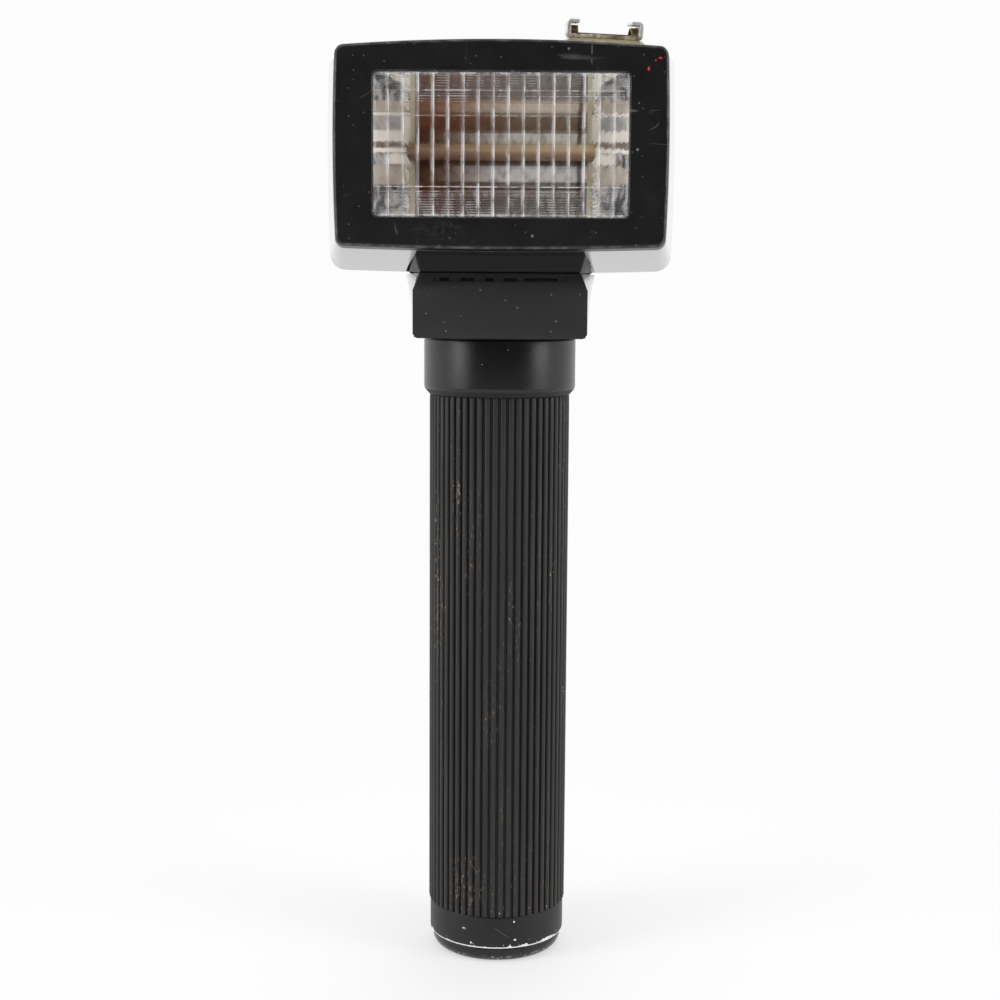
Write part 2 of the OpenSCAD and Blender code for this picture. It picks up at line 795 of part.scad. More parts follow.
module hinge_pin() {
    color("silver") translate([-pin_half, tilt_y, tilt_z]) rod_x(pin_r, 2 * pin_half);
}

module hinge_washers() {
    t = 0.5;
    r = knuckle_r - 1;
    color("silver") for (s = [-1, 1])
        translate([s * (lug_half_in - lug_side_gap + end_gap + t / 2) - t / 2, tilt_y, tilt_z]) difference() {
            rod_x(r, t);
            translate([-over, 0, 0]) rod_x(pin_r + run_gap, t + 2 * over);
        }
}

module swivel_circlip() {
    gap_w = 5;
    proud = 2.2;
    color("silver") translate([0, 0, circlip_z]) difference() {
        ring(swivel_r + proud, swivel_r - circlip_t + fit_gap, circlip_t);
        translate([-gap_w / 2, 0, -over]) cube([gap_w, 2 * swivel_r, circlip_t + 2 * over]);
    }
}

module thrust_washer() {
    color("silver") translate([0, 0, thrust_z])
        ring(bore_r - 2 * seat_gap, swivel_r + seat_gap, thrust_t);
}

// Head.

// The solid outline of the head between two depths, drawn in by inset.
module head_solid(from, to, inset = 0) loft([head_ring(from, inset), head_ring(to, inset)]);

// The front edge is rounded by rings that step in. The back carries the lens pocket and a locating rim.
module head_bezel() {
    edge = 0.8;
    rim_wall = 1.6;
    rim_gap = 2 * fit_gap;
    rim_d = 3;
    color("black") difference() {
        union() {
            loft(concat([for (a = [0:22.5:90])
                            head_ring(head_y + edge * (1 - cos(a)), edge * (1 - sin(a)))],
                        [head_ring(bezel_back)]));
            head_solid(bezel_back - over, bezel_back + rim_d, head_wall + rim_gap);
        }
        head_solid(bezel_back, bezel_back + rim_d + over, head_wall + rim_gap + rim_wall);
        translate([0, head_y - over, head_mid]) slab_y(bezel_d + 2 * over)
            rounded_rect(window_half, window_h / 2, window_corner);
        translate([0, lens_base - fit_gap, head_mid]) slab_y(bezel_d)
            rounded_rect(window_half + lens_flange, window_h / 2 + lens_flange, window_corner);
    }
}

// Plan of the foot under the flare at a height: its sides splay towards the back, all let out by a lean.
function foot_ring(z, out) =
    let (front = shoulder_in - foot_front, splay = (foot_half_back - foot_half_low) / (flare_y - front),
         near = foot_half_low + out, far = foot_half_back + out * (1 + splay))
    [[-near, front - out, z], [-far, flare_y, z], [far, flare_y, z], [near, front - out, z]];

module head_front_shell() {
    color("black") difference() {
        union() {
            head_solid(bezel_back, flare_y);
            loft([foot_ring(head_z, 0), foot_ring(bezel_z, foot_lean)]);
        }
        head_solid(bezel_back - over, flare_y + over, head_wall);
        sill(tilt_gap);
    }
}

module at_bracket_screws() {
    inset = 3.5;
    for (sx = [-1, 1], y = [bracket_y + inset, bracket_y + bracket_d - inset])
        translate([sx * (bracket_half - inset), y, bracket_z + bracket_t]) children();
}

module at_panel_screws() {
    inset = 2.7;
    seat_y = panel_face - panel_screw_sink;
    for (sx = [-1, 1], sz = [-1, 1])
        translate([sx * (panel_half - inset), seat_y, head_mid + sz * (panel_h / 2 - inset)])
            rotate([-90, 0, 0]) children();
}

// Room for a screw: a blind hole for its shank and an open one for its head.
module screw_room(len) {
    translate([0, 0, -len - end_gap]) cylinder(r = screw_r + fit_gap, h = len + 2 * end_gap);
    cylinder(r = screw_head_r + end_gap, h = screw_head_h + over);
}

// Posts inside carry the circuit board, and slots in the floor let the lugs of the tilt bracket through.
module head_rear_shell() {
    edge = 3;
    inner_y = back_y - rear_wall;
    color("black") difference() {
        union() {
            difference() {
                loft(concat([head_ring(flare_y)],
                            [for (a = [0:22.5:90])
                                head_ring(back_y - edge * (1 - sin(a)), edge * (1 - cos(a)))]));
                head_solid(flare_y - over, inner_y, head_wall);
            }
            for (sx = [-1, 1], sz = [-1, 1])
                translate([sx * board_post_x, board_y + board_t, head_mid + sz * board_post_z])
                    rod_y(board_post_r, inner_y - board_y - board_t + over);
        }
        translate([0, panel_y, head_mid]) slab_y(panel_t + over)
            rounded_rect(panel_half + fit_gap, panel_h / 2 + fit_gap, panel_corner);
        translate([0, inner_y - over, head_mid]) slab_y(rear_wall + over)
            rounded_rect(panel_half - ledge, panel_h / 2 - ledge, panel_corner);
        for (s = [-1, 1])
            translate([s * (lug_half_in + lug_half_out) / 2, tilt_y, head_z])
                cube([lug_half_out - lug_half_in + 2 * seat_gap, 2 * (knuckle_r + seat_gap), 4 * head_wall],
                     center = true);
        at_bracket_screws() screw_room(bracket_screw_len);
        at_panel_screws() screw_room(panel_screw_len);
    }
}

// A plate on the floor of the head with two lugs that hang on the hinge pin.
module tilt_bracket() {
    color("silver") difference() {
        union() {
            translate([-bracket_half, bracket_y, bracket_z]) cube([2 * bracket_half, bracket_d, bracket_t]);
            for (x = [-lug_half_out, lug_half_in]) translate([x, 0, 0]) slab_x(lug_half_out - lug_half_in) {
                translate([tilt_y, tilt_z]) circle(knuckle_r);
                translate([tilt_y - knuckle_r, tilt_z])
                    square([2 * knuckle_r, bracket_z - tilt_z + bracket_t]);
            }
        }
        translate([-lug_half_out - over, tilt_y, tilt_z]) rod_x(pin_r + run_gap, 2 * (lug_half_out + over));
        at_bracket_screws() screw_room(bracket_screw_len);
    }
}

module bracket_screws() {
    color("silver") at_bracket_screws() screw(screw_r, bracket_screw_len, screw_head_r, screw_head_h);
}

// Lens: round-crowned flutes in front, sawtooth steps behind.
module flute_plan() {
    for (i = [0:flute_count - 1]) {
        x = (i - (flute_count - 1) / 2) * flute_pitch;
        intersection() {
            translate([x - flute_pitch / 2, lens_face]) square([flute_pitch, lens_back - lens_face]);
            translate([x, lens_face + flute_r]) circle(flute_r);
        }
    }
}

// One zone of steps in Y and Z: each tooth rises to the lens's back face and drops again.
module lens_teeth(zone_h) {
    count = floor(zone_h / step_pitch);
    polygon(concat([[lens_back + over, 0]],
                   [for (i = [0:count - 1], k = [0, 1])
                       [lens_back - (1 - k) * step_d, (i + k) * step_pitch]],
                   [[lens_back + over, count * step_pitch]]));
}

module fresnel_lens() {
    edge = 0.6;
    half = window_half - 2 * edge;
    color("lightcyan", 0.5) difference() {
        union() {
            intersection() {
                translate([0, 0, head_mid - window_h / 2]) linear_extrude(window_h) flute_plan();
                translate([0, lens_face - over, head_mid]) slab_y(lens_back - lens_face + over)
                    rounded_rect(window_half - fit_gap, window_h / 2 - fit_gap, window_corner);
            }
            translate([0, lens_base, head_mid]) slab_y(lens_back - lens_base)
                rounded_rect(window_half + lens_flange - fit_gap, window_h / 2 + lens_flange - fit_gap,
                             window_corner);
        }
        translate([-half, 0, head_mid + window_h / 2 - edge]) mirror([0, 0, 1]) slab_x(2 * half)
            lens_teeth(steps_top_h);
        translate([-half, 0, head_mid - window_h / 2 + edge]) slab_x(2 * half) lens_teeth(steps_low_h);
    }
}

// The trough is a parabola with the flash tube at its focus.
function trough(t, out = 0) =
    let (n = [1, t / (2 * focus)], k = out / norm(n))
    [vertex_y - t * t / (4 * focus) + k * n[0], t + k * n[1]];

function trough_line(out, steps = 14) = [for (i = [-steps:steps]) trough(trough_half * i / steps, out)];

module reflector() {
    color("gainsboro") translate([-trough_len, 0, head_mid]) slab_x(2 * trough_len)
        polygon(concat(trough_line(0), reversed(trough_line(sheet_t))));
}

// Two plates close the trough. They lean out from its back to the window's sides.
module reflector_cheeks() {
    color("gainsboro") for (s = [0, 1]) mirror([s, 0, 0]) difference() {
        intersection() {
            translate([0, 0, head_mid - window_h / 2]) linear_extrude(window_h)
                polygon([[window_half, trough_y], [window_half + sheet_t, trough_y],
                         [cheek_half + sheet_t, cheek_back_y], [cheek_half, cheek_back_y]]);
            translate([0, 0, head_mid]) slab_x(trough_len) polygon(trough_line(-fit_gap));
        }
        translate([0, focus_y, head_mid]) rod_x(flash_r + seat_gap, trough_len);
    }
}

module flash_tube() {
    color("goldenrod", 0.6) translate([-flash_half, focus_y, head_mid]) difference() {
        rod_x(flash_r, 2 * flash_half);
        translate([-over, 0, 0]) rod_x(flash_r - flash_glass, 2 * (flash_half + over));
    }
}

// A stem inside each end of the glass, and a cap that butts on it.
module tube_electrodes() {
    stem_r = flash_r - flash_glass - fit_gap;
    color("silver") for (s = [0, 1]) mirror([s, 0, 0]) translate([flash_half, focus_y, head_mid]) {
        translate([-electrode_in, 0, 0]) rod_x(stem_r, electrode_in + electrode_cap);
        rod_x(flash_r - flash_glass / 2, electrode_cap);
    }
}

module tube_grommets() {
    wall = 1.2;
    len = 1.9;
    cheek_gap = 0.2;
    // The sloping cheek stands out furthest at the grommet's front.
    front = (cheek_back_y - focus_y + flash_r + wall) / (cheek_back_y - trough_y);
    place = cheek_half + front * (window_half - cheek_half) + sheet_t + cheek_gap;
    color("ivory") for (s = [0, 1]) mirror([s, 0, 0]) translate([place, focus_y, head_mid]) difference() {
        rod_x(flash_r + wall, len);
        translate([-over, 0, 0]) rod_x(flash_r + fit_gap, len + 2 * over);
    }
}

// What is on the circuit board stands on its front face, except the riser under the test button.
module circuit_board() {
    color("darkgreen") translate([-board_half, board_y, head_mid - board_h / 2])
        cube([2 * board_half, board_t, board_h]);
}

// A place on the front of the board, right of its middle and up. Z runs forward from it.
module on_board(x, up) translate([x, board_y, head_mid + up]) rotate([90, 0, 0]) children();

module trigger_coil() {
    coil_r = 5;
    coil_len = 12;
    cheek_r = 6;
    cheek_t = 1.2;
    coil_x = -22;
    coil_up = 13;
    color("sienna") on_board(coil_x, coil_up) {
        cylinder(r = cheek_r, h = cheek_t);
        cylinder(r = coil_r, h = coil_len);
        translate([0, 0, coil_len - cheek_t]) cylinder(r = cheek_r, h = cheek_t);
    }
}

// The inverter's transformer, two round capacitors, a chip and the riser of the test contact.
module board_components() {
    transformer_w = 20;
    transformer_h = 18;
    transformer_d = 14;
    transformer_x = 14;
    transformer_up = -3;
    chip_w = 16;
    chip_h = 7;
    chip_d = 3;
    chip_up = 11.5;
    large_r = 6;
    large_len = 16;
    large_x = -12;
    large_up = -8;
    small_r = 4;
    small_len = 11;
    small_x = -28;
    small_up = -12;
    riser = 8;
    riser_len = panel_y - flange_t - seat_gap - stem_len - button_travel - seat_gap - board_y - board_t;
    color("dimgray") {
        on_board(transformer_x, transformer_up) translate([-transformer_w / 2, -transformer_h / 2, 0])
            cube([transformer_w, transformer_h, transformer_d]);
        on_board(0, chip_up) translate([-chip_w / 2, -chip_h / 2, 0]) cube([chip_w, chip_h, chip_d]);
        on_board(large_x, large_up) cylinder(r = large_r, h = large_len);
        on_board(small_x, small_up) cylinder(r = small_r, h = small_len);
        translate([button_x - riser / 2, board_y + board_t, head_mid + upper_row - riser / 2])
            cube([riser, riser_len, riser]);
    }
}

// Back panel, with holes for the controls.
module back_panel() {
    color("black") difference() {
        translate([0, panel_y, head_mid]) slab_y(panel_t) difference() {
            rounded_rect(panel_half, panel_h / 2, panel_corner);
            translate([dial_x, 0]) circle(hub_stud_r + fit_gap, $fn = 48);
            translate([lamp_x, upper_row]) circle(lamp_r + fit_gap, $fn = 48);
            translate([button_x, upper_row]) circle(button_r + run_gap);
            translate([sync_x, sync_row]) circle(sync_body_r + fit_gap, $fn = 48);
            translate([switch_x, switch_row])
                square([2 * (slider_neck + seat_gap), 2 * (slider_half + seat_gap) + switch_travel],
                       center = true);
        }
        at_panel_screws() screw_room(panel_screw_len);
    }
}

module panel_screws() {
    color("silver") at_panel_screws() screw(screw_r, panel_screw_len, screw_head_r, panel_screw_sink);
}

// A place on the panel, x to the right and row up from the head's middle. Z runs backward from it.
module at_panel(x, row, y = panel_face) translate([x, y, head_mid + row]) rotate([-90, 0, 0]) children();

module dial_plate() {
    margin = 1.3;
    color("silver") at_panel(dial_x, 0) ring(dial_r + margin, hub_r + seat_gap, scale_t);
}

// A rivet through the panel, with a head over the dial.
module dial_hub() {
    top = dial_y + dial_t + 2 * end_gap - panel_face;
    head_over = 1.6;
    head_t = 0.9;
    color("silver") at_panel(dial_x, 0) {
        translate([0, 0, -panel_t]) cylinder(r = hub_stud_r, h = panel_t + over);
        cylinder(r = hub_r, h = top);
        translate([0, 0, top]) cylinder(r = hub_r + head_over, h = head_t);
    }
}

// A disc with finger notches round its rim.
module calculator_dial() {
    notch = 0.7;
    notch_out = 0.2;
    color("dimgray") at_panel(dial_x, 0, dial_y) linear_extrude(dial_t) difference() {
        circle(dial_r);
        circle(hub_r + run_gap);
        for (i = [0:dial_notches - 1]) rotate(i * 360 / dial_notches) translate([dial_r + notch_out, 0])
            circle(notch, $fn = 16);
    }
}

module ready_lamp() {
    flange = 1;
    proud = 0.4;
    color("orange") at_panel(lamp_x, upper_row, panel_y - flange) {
        cylinder(r = lamp_r + flange, h = flange);
        cylinder(r = lamp_r, h = flange + panel_t + proud);
        translate([0, 0, flange + panel_t + proud]) intersection() {
            translate([0, 0, -lamp_r]) sphere(lamp_r * sqrt(2));
            cylinder(r = lamp_r, h = lamp_r);
        }
    }
}

// A round socket held by a hexagon nut on the panel.
module sync_socket() {
    barrel = sync_depth + 0.4;
    inside = 3;
    nut_r = sync_body_r + 1.2;
    nut_h = 1.4;
    color("silver") at_panel(sync_x, sync_row, panel_y - inside) difference() {
        union() {
            cylinder(r = sync_body_r, h = inside + panel_t + barrel);
            translate([0, 0, inside + panel_t]) cylinder(r = nut_r, h = nut_h, $fn = 6);
        }
        translate([0, 0, inside + panel_t + barrel - sync_depth]) cylinder(r = sync_r, h = sync_depth + over);
    }
}

// A frame behind the panel that the switch slides in.
module switch_body() {
    clear = slider_flange_half + switch_travel / 2 + seat_gap;
    end_wall = 1.8;
    half = clear + end_wall;
    wide = 5.5;
    front = slider_flange_t + 2 * seat_gap;
    back = 6;
    color("dimgray") translate([switch_x, panel_y, head_mid + switch_row]) difference() {
        translate([-wide, -back, -half]) cube([2 * wide, back, 2 * half]);
        translate([-wide - over, -front, -clear]) cube([2 * (wide + over), front + over, 2 * clear]);
    }
}

// Off at the foot of its slot, on at the top.
module power_switch() {
    grip_half = 4;
    grip_h = 2.3;
    groove = 0.8;
    groove_d = 0.6;
    place = head_mid + switch_row - switch_travel / 2;
    color("white") translate([switch_x, panel_y, place]) difference() {
        union() {
            translate([-grip_half, -slider_flange_t - seat_gap, -slider_flange_half])
                cube([2 * grip_half, slider_flange_t, 2 * slider_flange_half]);
            translate([-slider_neck, -seat_gap - over / 2, -slider_half])
                cube([2 * slider_neck, panel_t + 2 * seat_gap + over / 2, 2 * slider_half]);
            translate([-grip_half, panel_t + seat_gap, -grip_half])
                cube([2 * grip_half, grip_h, 2 * grip_half]);
        }
        for (i = [-1:1])
            translate([-grip_half - over, panel_t + seat_gap + grip_h - groove_d, (2.5 * i - 0.5) * groove])
                cube([2 * (grip_half + over), groove_d + over, groove]);
    }
}

module test_button() {
    proud = 2.2;
    flange = 1.1;
    color("red") at_panel(button_x, upper_row, panel_y - seat_gap - flange_t) {
        translate([0, 0, -stem_len]) cylinder(r = button_r / 2, h = stem_len + flange_t);
        cylinder(r = button_r + flange, h = flange_t);
        cylinder(r = button_r, h = flange_t + seat_gap + panel_t + proud);
    }
}

// Accessory shoe.

// The lean of the crowned top where the shoe lies.
function crown_lean() =
    atan((head_top(shoe_x - shoe_half, shoe_y) - head_top(shoe_x + shoe_half, shoe_y)) / (2 * shoe_half));

module on_shoe() {
    translate([shoe_x, shoe_y, head_top(shoe_x, shoe_y) + glue_t]) rotate([taper, 0, 0])
        rotate([0, crown_lean(), 0]) children();
}

// A strip of metal bent up at both sides and in again over the slot.
module accessory_shoe() {
    bend = 1.2;
    in = shoe_half - shoe_t;
    lip = shoe_half - shoe_lip;
    under = shoe_h - shoe_t;
    color("silver") on_shoe() slab_y(shoe_len) intersection() {
        translate([0, shoe_h / 2]) rounded_rect(shoe_half, shoe_h / 2, bend);
        polygon([[-shoe_half, 0], [shoe_half, 0], [shoe_half, shoe_h], [lip, shoe_h], [lip, under],
                 [in, under], [in, shoe_t], [-in, shoe_t], [-in, under], [-lip, under], [-lip, shoe_h],
                 [-shoe_half, shoe_h]]);
    }
}

// A thin leaf on the shoe's floor, with a bowed tongue under each lip.
module shoe_spring() {
    half = shoe_slot / 2 - 2 * end_gap;
    tongue = shoe_lip - shoe_t - 4 * end_gap;
    end = 1.5;
    crown = shoe_slot_h - 3 * leaf_t;
    run = shoe_len - 2 * end;
    steps = 12;
    line = [for (i = [0:steps]) [end + run * i / steps, leaf_t / 2 + crown * sin(180 * i / steps)]];
    color("saddlebrown") on_shoe() translate([0, 0, shoe_t]) {
        translate([-half, end, 0]) cube([2 * half, run, leaf_t]);
        for (x = [-half, half - tongue]) translate([x, 0, 0]) slab_x(tongue)
            polygon(concat([for (q = line) q], reversed([for (q = line) [q[0], q[1] + leaf_t]])));
    }
}

// Glue squeezed out under the shoe, down to the head's top.
module shoe_adhesive() {
    deep = glue_t + 2;
    bulge = 2.2;
    uneven = 0.3;
    color("darkkhaki") difference() {
        on_shoe() translate([0, 0, -deep]) linear_extrude(deep) {
            translate([-shoe_half + bulge, 0]) square([2 * (shoe_half - bulge), shoe_len]);
            for (i = [-3:3]) translate([i * shoe_half / 4, bulge / 2])
                circle(bulge + uneven * sin(200 * i), $fn = 32);
            for (s = [-1, 1], i = [0:3]) translate([s * (shoe_half - bulge), bulge + i * shoe_len / 4])
                circle(bulge - uneven * (s + 1) / 2, $fn = 32);
        }
        head_solid(bezel_back, flare_y, -fit_gap);
        head_solid(flare_y - fit_gap, flare_y + shoe_len, -fit_gap);
    }
}

handle_tube();
grip_sleeve();
base_ring();
handle_collar();
battery_holder();
battery_cells();
battery_contacts();
contact_board();
main_capacitor();
capacitor_cradle();
swivel_washer();
battery_cap();
cap_contact();
cap_spring();
cap_seal();
neck_housing();
front_module();
module_contacts();
hinge_pin();
hinge_washers();
swivel_circlip();
thrust_washer();
head_bezel();
head_front_shell();
head_rear_shell();
back_panel();
panel_screws();
fresnel_lens();
reflector();
reflector_cheeks();
flash_tube();
tube_electrodes();
tube_grommets();
trigger_coil();
circuit_board();
board_components();
tilt_bracket();
bracket_screws();
dial_plate();
dial_hub();
ready_lamp();
sync_socket();
switch_body();
accessory_shoe();
shoe_spring();
shoe_adhesive();
calculator_dial();
test_button();
power_switch();
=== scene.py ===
import math

import bmesh
import bpy
import numpy as np
from bpy.props import FloatProperty, FloatVectorProperty, IntProperty, PointerProperty
from mathutils import Matrix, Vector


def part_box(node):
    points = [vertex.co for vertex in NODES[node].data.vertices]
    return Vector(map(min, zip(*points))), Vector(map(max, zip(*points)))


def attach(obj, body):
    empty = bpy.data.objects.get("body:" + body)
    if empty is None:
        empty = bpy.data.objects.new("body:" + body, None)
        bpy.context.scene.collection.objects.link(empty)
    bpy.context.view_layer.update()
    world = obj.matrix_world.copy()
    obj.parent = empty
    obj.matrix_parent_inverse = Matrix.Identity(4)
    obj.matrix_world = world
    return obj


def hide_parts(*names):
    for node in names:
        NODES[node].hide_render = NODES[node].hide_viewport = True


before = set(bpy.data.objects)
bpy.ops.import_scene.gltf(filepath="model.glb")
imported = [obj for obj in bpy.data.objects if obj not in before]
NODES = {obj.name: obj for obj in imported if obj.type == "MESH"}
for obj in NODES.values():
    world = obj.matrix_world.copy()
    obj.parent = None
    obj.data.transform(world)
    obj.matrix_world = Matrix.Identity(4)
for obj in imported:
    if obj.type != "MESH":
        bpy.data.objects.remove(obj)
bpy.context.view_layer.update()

bl_info = {
    "name": "Handle mount flash",
    "version": (1, 0, 0),
    "blender": (4, 5, 0),
    "location": "3D View > Sidebar > Flash",
    "description": "Dresses the solids of a handle mount flash with finer surfaces, finishes and a studio",
    "category": "Add Mesh",
}

MM = 0.001


def box_of(node):
    """Lowest and highest corner of a solid, as arrays."""
    low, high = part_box(node)
    return np.array(low), np.array(high)


def level_with(node):
    """The point of the handle's axis that is level with the middle of a solid."""
    low, high = box_of(node)
    return 0, 0, (low[2] + high[2]) / 2


GRIP_LOW, GRIP_HIGH = box_of("grip_sleeve")
BAND_LOW, BAND_HIGH = box_of("base_ring")
COLLAR_LOW, COLLAR_HIGH = box_of("handle_collar")
LENS_LOW, LENS_HIGH = box_of("fresnel_lens")
PANEL_LOW, PANEL_HIGH = box_of("back_panel")
DIAL_LOW, DIAL_HIGH = box_of("calculator_dial")
DIAL_MIDDLE = (DIAL_LOW + DIAL_HIGH) / 2


def length(name, description, default):
    """A size in metres, given in millimetres."""
    return FloatProperty(name=name, description=description, default=default * MM, unit="LENGTH", precision=5)


def colour(name, description, default):
    """A colour as three linear values."""
    return FloatVectorProperty(name=name, description=description, default=default, subtype="COLOR", size=3,
                               min=0, max=1)


class FlashHandleSizes(bpy.types.PropertyGroup):
    rib_count: IntProperty(name="Ribs", description="Ribs round the grip", default=56, min=20, max=80)
    rib_groove: length("Rib groove", "Width of the groove between two ribs", 0.6)
    rib_depth: length("Rib depth", "Depth of that groove", 0.95)
    rib_crown: length("Rib crown", "How far the top of a rib is rounded off", 0.16)
    tube_r: length("Tube radius", "Outside of the handle tube under the sleeve", 17.85)
    band_edge: length("Band edge", "Rounded edge of the base ring", 0.45)


class FlashHeadSizes(bpy.types.PropertyGroup):
    front: length("Front", "Bezel's face, forward of the handle's axis", 38)
    depth: length("Depth", "Bezel's face to the back of the head", 74)
    flare_len: length("Flare length", "Length of the part that flares out", 41.6)
    taper: FloatProperty(name="Taper", description="Taper of the flare", default=math.radians(7.8), subtype="ANGLE")
    half: length("Half width", "Half width of the bezel", 43.6)
    height: length("Height", "Height of the bezel", 53.6)
    floor: length("Floor", "Underside of the head at its back", 196.9)
    bezel_depth: length("Bezel depth", "Depth of the bezel", 4)
    front_corner: length("Front corner", "Corner radius at the bezel", 2.4)
    back_corner: length("Back corner", "Corner radius at the back", 4.5)
    top_bow: length("Top bow", "Crown of the top", 1.5)
    side_bow: length("Side bow", "Crown of the sides", 0.5)
    floor_bow: length("Floor bow", "Crown of the underside", 0.7)
    wall: length("Wall", "Wall of the shells", 2.2)
    seam: length("Seam", "Bevel where the bezel and the shells meet", 0.22)
    window_half: length("Window half width", "Half width of the window", 33.4)
    window_height: length("Window height", "Height of the window", 37.2)
    window_corner: length("Window corner", "Corner radius of the window", 1.3)
    glue: length("Glue", "Thickness of the glue under the shoe", 1)


class FlashLensSizes(bpy.types.PropertyGroup):
    flutes: IntProperty(name="Flutes", description="Upright flutes on the lens", default=17, min=5, max=31)
    crown: length("Crown", "Height of a flute's crown", 0.06)
    groove: length("Groove", "Depth of the groove between two flutes", 0.24)
    groove_width: length("Groove width", "Half width of that groove", 0.15)
    step_pitch: length("Step pitch", "Pitch of the prism steps on the back", 0.66)
    step_depth: length("Step depth", "Depth of those steps", 0.16)
    focus: length("Focus", "Focal length of the reflector trough", 3.5)


class FlashFinishes(bpy.types.PropertyGroup):
    grip: colour("Grip", "Rubber of the grip", (0.014, 0.0128, 0.0122))
    satin: colour("Satin black", "Bezel and panel", (0.0035, 0.0034, 0.0034))
    gloss: colour("Gloss black", "Shells of the head", (0.006, 0.006, 0.0066))
    module: colour("Module black", "Textured black of the neck block", (0.0152, 0.0148, 0.0156))
    collar: colour("Collar black", "Collar and base ring", (0.0034, 0.0031, 0.0031))
    dirt: colour("Dirt", "Pale dirt in the grip", (0.44, 0.38, 0.28))
    bare_metal: colour("Bare metal", "Metal where black has worn off", (0.90, 0.89, 0.87))
    nickel: colour("Nickel", "Accessory shoe", (0.74, 0.73, 0.70))
    glue: colour("Glue", "Yellowed glue under the shoe", (0.26, 0.22, 0.12))
    mirror_left: colour("Reflector left", "Browned end of the reflector", (0.52, 0.25, 0.15))
    mirror_right: colour("Reflector right", "Dull end of the reflector", (0.45, 0.44, 0.43))
    # Reflector bands and straw: painted reflections beside the tube and along the lip
    mirror_clean: colour("Reflector bands", "Bands beside the tube that stayed bright", (0.97, 0.95, 0.93))
    mirror_straw: colour("Reflector straw", "Straw coloured band along the lip", (0.84, 0.74, 0.64))
    tube: colour("Flash tube", "Straw coloured glass of the flash tube", (0.92, 0.70, 0.42))
    lamp: colour("Ready lamp", "Amber of the ready lamp", (0.80, 0.28, 0.03))
    button: colour("Test button", "Red of the test button", (0.42, 0.018, 0.014))


class Value:
    """A socket of a node tree. Python's operators on it add Math nodes."""

    def __init__(self, net, socket):
        self.net, self.socket = net, socket

    def math(self, operation, *others, swap=False):
        values = [*others, self] if swap else [self, *others]
        return self.net.node("Math", {"operation": operation}, dict(enumerate(values)))

    def __add__(self, other): return self.math("ADD", other)
    def __radd__(self, other): return self.math("ADD", other)
    def __sub__(self, other): return self.math("SUBTRACT", other)
    def __rsub__(self, other): return self.math("SUBTRACT", other, swap=True)
    def __mul__(self, other): return self.math("MULTIPLY", other)
    def __rmul__(self, other): return self.math("MULTIPLY", other)
    def __truediv__(self, other): return self.math("DIVIDE", other)
    def __rtruediv__(self, other): return self.math("DIVIDE", other, swap=True)
    def __pow__(self, other): return self.math("POWER", other)
    def __abs__(self): return self.math("ABSOLUTE")
    def least(self, other): return self.math("MINIMUM", other)
    def most(self, other): return self.math("MAXIMUM", other)

    def between(self, low, high):
        """0 at low, 1 at high, with a soft step; low may be the larger."""
        return self.net.node("MapRange", {"interpolation_type": "SMOOTHSTEP"},
                             {0: self, 1: low, 2: high, 3: 0.0, 4: 1.0})

    def band(self, low, high, soft):
        """1 from low to high with a soft step at each end, all in millimetres."""
        return (self.between((low - soft) * MM, (low + soft) * MM)
                * self.between((high + soft) * MM, (high - soft) * MM))

    def colours(self, first, second):
        """A colour from first, where this is 0, to second, where it is 1."""
        return self.net.node("Mix", {"data_type": "RGBA"}, {0: self, 6: first, 7: second}, out=2)


